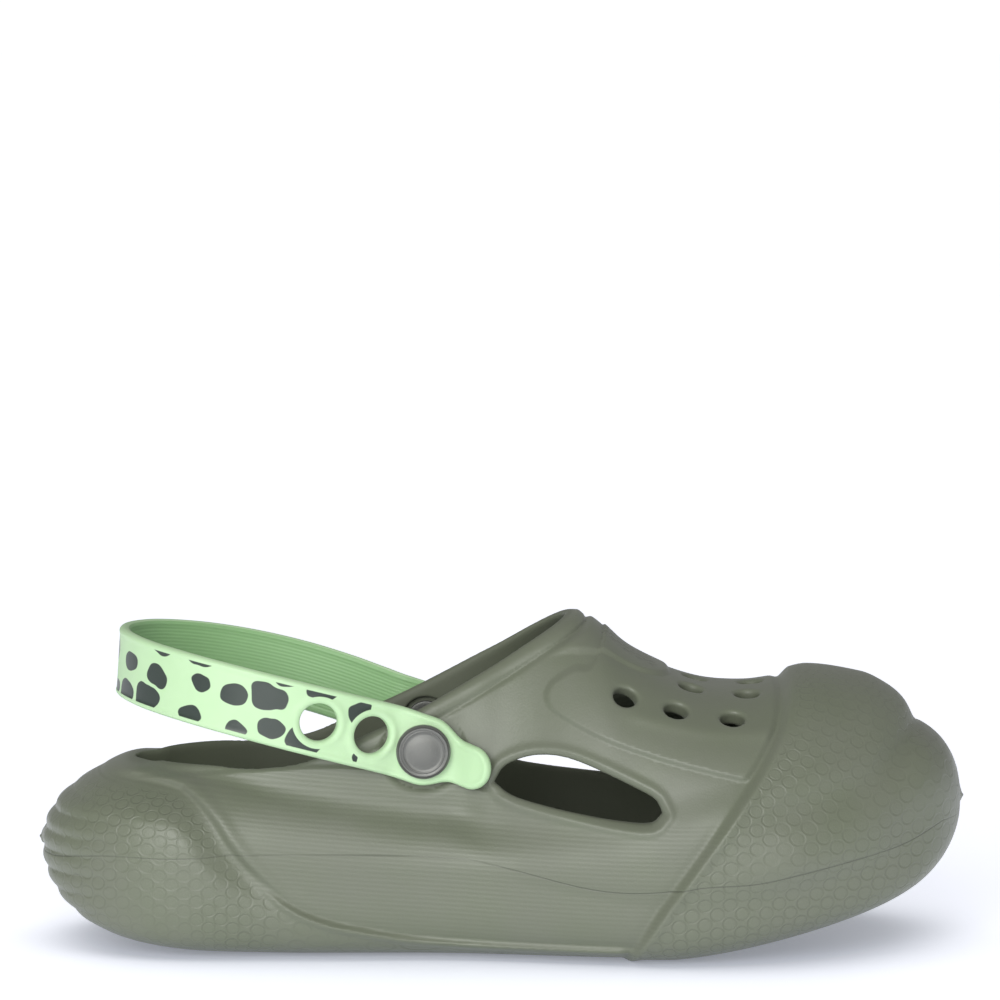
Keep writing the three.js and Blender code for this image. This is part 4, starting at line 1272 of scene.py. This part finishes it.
@dataclass
class SnapRivet:
    """One snap rivet: a domed cap on a shouldered stud, and the socket disc inside the wall."""

    side: Side
    x: float
    z: float
    side_shift: float
    strap_inside: float
    wall_outside: float
    socket_outer: float
    strap_thickness: float
    cap_clearance: float = 0.455
    cap_height: float = 2.3

    def turned(self, name: str, outline: Array, around: int) -> bpy.types.Object:
        """Turns an outline of radii and distances out about the rivets' line.

        A point at angle a is x + r cos a, z + r sin a, with its distance out along the side's sign. An
        outline whose ends are on the line closes there in two poles; any other closes on itself.
        """
        sign = float(self.side.value)
        poles = outline[0, 0] == 0.0
        rings = outline[1:-1] if poles else outline
        angle = np.linspace(0, 2 * math.pi, around, endpoint=False)
        r, out = rings.T
        x = self.x + r[:, None] * np.cos(angle)
        z = self.z + r[:, None] * np.sin(angle)
        y = np.broadcast_to(sign * out[:, None] + self.side_shift, x.shape)
        vertices = np.stack([x, y, z], axis=-1).reshape(-1, 3)
        rows = len(rings)
        i, j = np.meshgrid(np.arange(rows - 1 if poles else rows), np.arange(around), indexing="ij")
        a, b = i * around + j, i * around + (j + 1) % around
        c, d = (i + 1) % rows * around + (j + 1) % around, (i + 1) % rows * around + j
        faces = [np.stack(three, axis=-1).reshape(-1, 3) for three in ((a, b, c), (a, c, d))]
        radii = np.repeat(r, around)
        if poles:
            ends = np.array([[self.x, sign * o + self.side_shift, self.z] for o in outline[[0, -1], 1]])
            first, last = len(vertices), len(vertices) + 1
            vertices = np.concatenate([vertices, ends])
            turn = np.arange(around)
            after, top = (turn + 1) % around, (rows - 1) * around
            faces.append(np.stack([np.full(around, first), after, turn], axis=1))
            faces.append(np.stack([np.full(around, last), top + turn, top + after], axis=1))
            radii = np.r_[radii, 0.0, 0.0]
        faces = np.concatenate(faces)
        if sign > 0:
            faces = faces[:, ::-1]
        piece = to_object(name, vertices, faces)
        note(piece, "turn", radii)
        return piece

    @staticmethod
    def rounded(corners: list[tuple[float, float, float]]) -> Array:
        """Rounds a closed outline's corners.

        Args:
            corners: radius, distance out and rounding of each corner.

        Returns:
            The outline: at each corner a quadratic curve between points on its two sides.
        """
        p = np.array(corners, float)
        made = []
        for i, (r, out, fillet) in enumerate(corners):
            here = p[i, :2]
            legs = [p[i - 1, :2] - here, p[(i + 1) % len(p), :2] - here]
            ends = [here + leg / max(np.linalg.norm(leg), 1e-9) * fillet for leg in legs]
            t = np.linspace(0, 1, 5 if fillet > 0 else 1)[:, None]
            made.append((1 - t) ** 2 * ends[0] + 2 * t * (1 - t) * here + t**2 * ends[1])
        return np.concatenate(made)

    def build(self, finish: bpy.types.Material) -> list[bpy.types.Object]:
        """Builds the stud and the socket, dressed and riding on the rivet's body."""
        word = self.side.name.lower()
        seat = self.strap_inside + self.strap_thickness + self.cap_clearance
        crown = seat + self.cap_height
        post_end = self.socket_outer - 1.0
        cap = [
            (0.0, post_end, 0.0),
            (2.5, post_end, 0.3),
            (2.5, self.wall_outside + 0.35, 0.1),
            (4.5, self.wall_outside + 0.35, 0.2),
            (4.5, seat, 0.15),
            (7.0, seat, 0.4),
            (7.0, crown - 0.35, 0.8),
            (5.9, crown, 0.6),
            (5.0, crown - 0.75, 0.7),
            (2.6, crown - 0.35, 0.9),
            (0.0, crown - 0.25, 0.0),
        ]
        stud = self.turned(f"rivet_cap_{word}", self.rounded(cap), 96)
        inner = self.socket_outer - 1.5
        disc = [
            (2.85, inner + 0.35, 0.1),
            (3.4, inner + 0.05, 0.2),
            (5.1, inner, 0.4),
            (5.1, self.socket_outer, 0.2),
            (2.85, self.socket_outer, 0.1),
        ]
        socket = self.turned(f"rivet_disc_{word}", self.rounded(disc), 96)
        for piece, node in ((stud, f"rivet_stud_{word}"), (socket, f"rivet_socket_{word}")):
            piece.data.materials.append(finish)
            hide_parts(node)
            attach(piece, f"rivet_{word}")
        return [stud, socket]


# ------------------------------------------------------------------ studio


@dataclass(frozen=True)
class Studio:
    """A pale floor, soft lights and the camera, in metres. Elevation is in degrees."""

    distance: float = 1.5
    elevation: float = 9.3
    look_height: float = 0.045
    width: float = 0.2614
    ambient: float = 0.36
    glow: float = 0.6

    def build(self) -> None:
        """Builds the floor, the lights, the sky and the camera."""
        self.build_floor()
        self.build_sun()
        self.build_light("front", (-0.45, -1.4, 0.55), 0.5, 3.0)
        self.build_sky()
        bpy.context.scene.view_settings.view_transform = "Standard"
        self.build_camera()

    def build_floor(self) -> None:
        """Builds a wide level floor with a faint mottle and a painted contact shadow: duller and bluer where
        the clog hides the sky.
        """
        half = 6000.0
        corners = np.array([[-half, -half, 0], [half, -half, 0], [half, half, 0], [-half, half, 0]])
        floor = to_object("studio_floor", corners, np.array([[0, 1, 2, 3]]))
        material, n, shader = new_material("pale_floor")
        place = n.add("TexCoord").outputs["Object"]
        tint = n.mix(n.noise(place, 3.0), colour(249, 250, 254), colour(252, 252, 255))
        # Painted contact shadow: ambient occlusion darkens and blues the floor's colour and dims its glow
        # near the clog.
        open_sky = n.add("AmbientOcclusion", {"Distance": 0.075}).outputs["AO"]
        bare = n.band(open_sky, 0.2, 0.85, 0.4, 1.0)
        n.tree.links.new(n.mix(bare, colour(176, 183, 206), tint), shader.inputs["Base Color"])
        shader.inputs["Emission Color"].default_value = (0.86, 0.89, 1.0, 1.0)
        n.tree.links.new(n.math("MULTIPLY", bare, self.glow), shader.inputs["Emission Strength"])
        shader.inputs["Specular IOR Level"].default_value = 0.2
        shader.inputs["Roughness"].default_value = 0.3
        floor.data.materials.append(material)

    def build_sun(self) -> None:
        """Builds the broad soft key, low and in front, which lights the whole floor evenly."""
        data = bpy.data.lights.new("light_key", "SUN")
        data.energy = 2.2
        data.angle = math.radians(50)
        light = bpy.data.objects.new("light_key", data)
        bpy.context.scene.collection.objects.link(light)
        light.rotation_euler = self.facing(np.array([0.2, 1.0, -0.34]))

    def build_sky(self) -> None:
        """Builds a white backdrop that lights the clog less than it shows."""
        world = bpy.data.worlds.new("studio")
        bpy.context.scene.world = world
        world.use_nodes = True
        n = Nodes(world.node_tree)
        seen = n.add("LightPath").outputs["Is Camera Ray"]
        sky = world.node_tree.nodes["Background"]
        sky.inputs["Color"].default_value = (1.0, 1.0, 1.0, 1.0)
        n.tree.links.new(n.band(seen, 0.0, 1.0, self.ambient, 1.05), sky.inputs["Strength"])

    def build_light(self, name: str, place: tuple[float, float, float], size: float, power: float) -> None:
        """Builds a square soft light at a place, aimed at the clog."""
        data = bpy.data.lights.new(f"light_{name}", "AREA")
        data.size = size
        data.energy = power
        light = bpy.data.objects.new(f"light_{name}", data)
        bpy.context.scene.collection.objects.link(light)
        light.location = place
        aim = np.array([0.0, 0.0, self.look_height]) - np.array(place)
        light.rotation_euler = self.facing(aim)

    @staticmethod
    def facing(aim: Array) -> tuple[float, float, float]:
        """Returns the turn that points an object's -Z along aim and keeps its X level."""
        flat = math.hypot(aim[0], aim[1])
        return (math.atan2(flat, -aim[2]), 0.0, math.atan2(-aim[0], aim[1]))

    def build_camera(self) -> None:
        """Builds a long-lens camera level with the clog's side, a little above it."""
        data = bpy.data.cameras.new("studio_camera")
        data.sensor_width = 36.0
        data.lens = 36.0 * self.distance / self.width
        data.shift_y = 0.267
        data.clip_end = 50.0
        camera = bpy.data.objects.new("studio_camera", data)
        bpy.context.scene.collection.objects.link(camera)
        rise = math.radians(self.elevation)
        back = self.distance * math.cos(rise)
        camera.location = (-0.0004, -back, self.look_height + self.distance * math.sin(rise))
        camera.rotation_euler = (math.pi / 2 - rise, 0.0, 0.0)
        bpy.context.scene.camera = camera


def main() -> None:
    """Builds every sub-assembly in turn and reports each piece."""
    logging.basicConfig(level=logging.INFO, format="%(name)s: %(message)s")
    middle = node_middle("rivet_stud_outer", "rivet_stud_inner")
    shift = float(middle[1])
    foam = Foam(side_shift=shift)
    rivet_x, rivet_z = float(middle[0]), float(middle[2])
    wall_outside = foam.arch_side(rivet_x, rivet_z)
    recess_floor = wall_outside - foam.wall + RECESS_DEPTH
    strap_inside = wall_outside + STRAP_GAP
    rivet = RivetPlace(rivet_x, rivet_z, wall_outside, recess_floor)
    effects = Effects()
    upper = Upper(foam, rivet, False)
    made = [
        upper.build_moulding(FoamFinish().make(effects)),
        upper.build_liner(LinerFinish().make(effects)),
    ]
    band = StrapBand(rivet_x, rivet_z, strap_inside, shift)
    made.append(Strap(band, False).build(StrapFinish().make(effects)))
    grey = RivetFinish().make(effects)
    for side in Side:
        socket_outer = recess_floor - SOCKET_GAP
        snap = SnapRivet(
            side, rivet_x, rivet_z, shift, strap_inside, wall_outside, socket_outer, band.thickness
        )
        made += snap.build(grey)
    for piece in made:
        LOG.info("%s: %d faces", piece.name, len(piece.data.polygons))
    Studio().build()


if __name__ == "__main__":
    main()
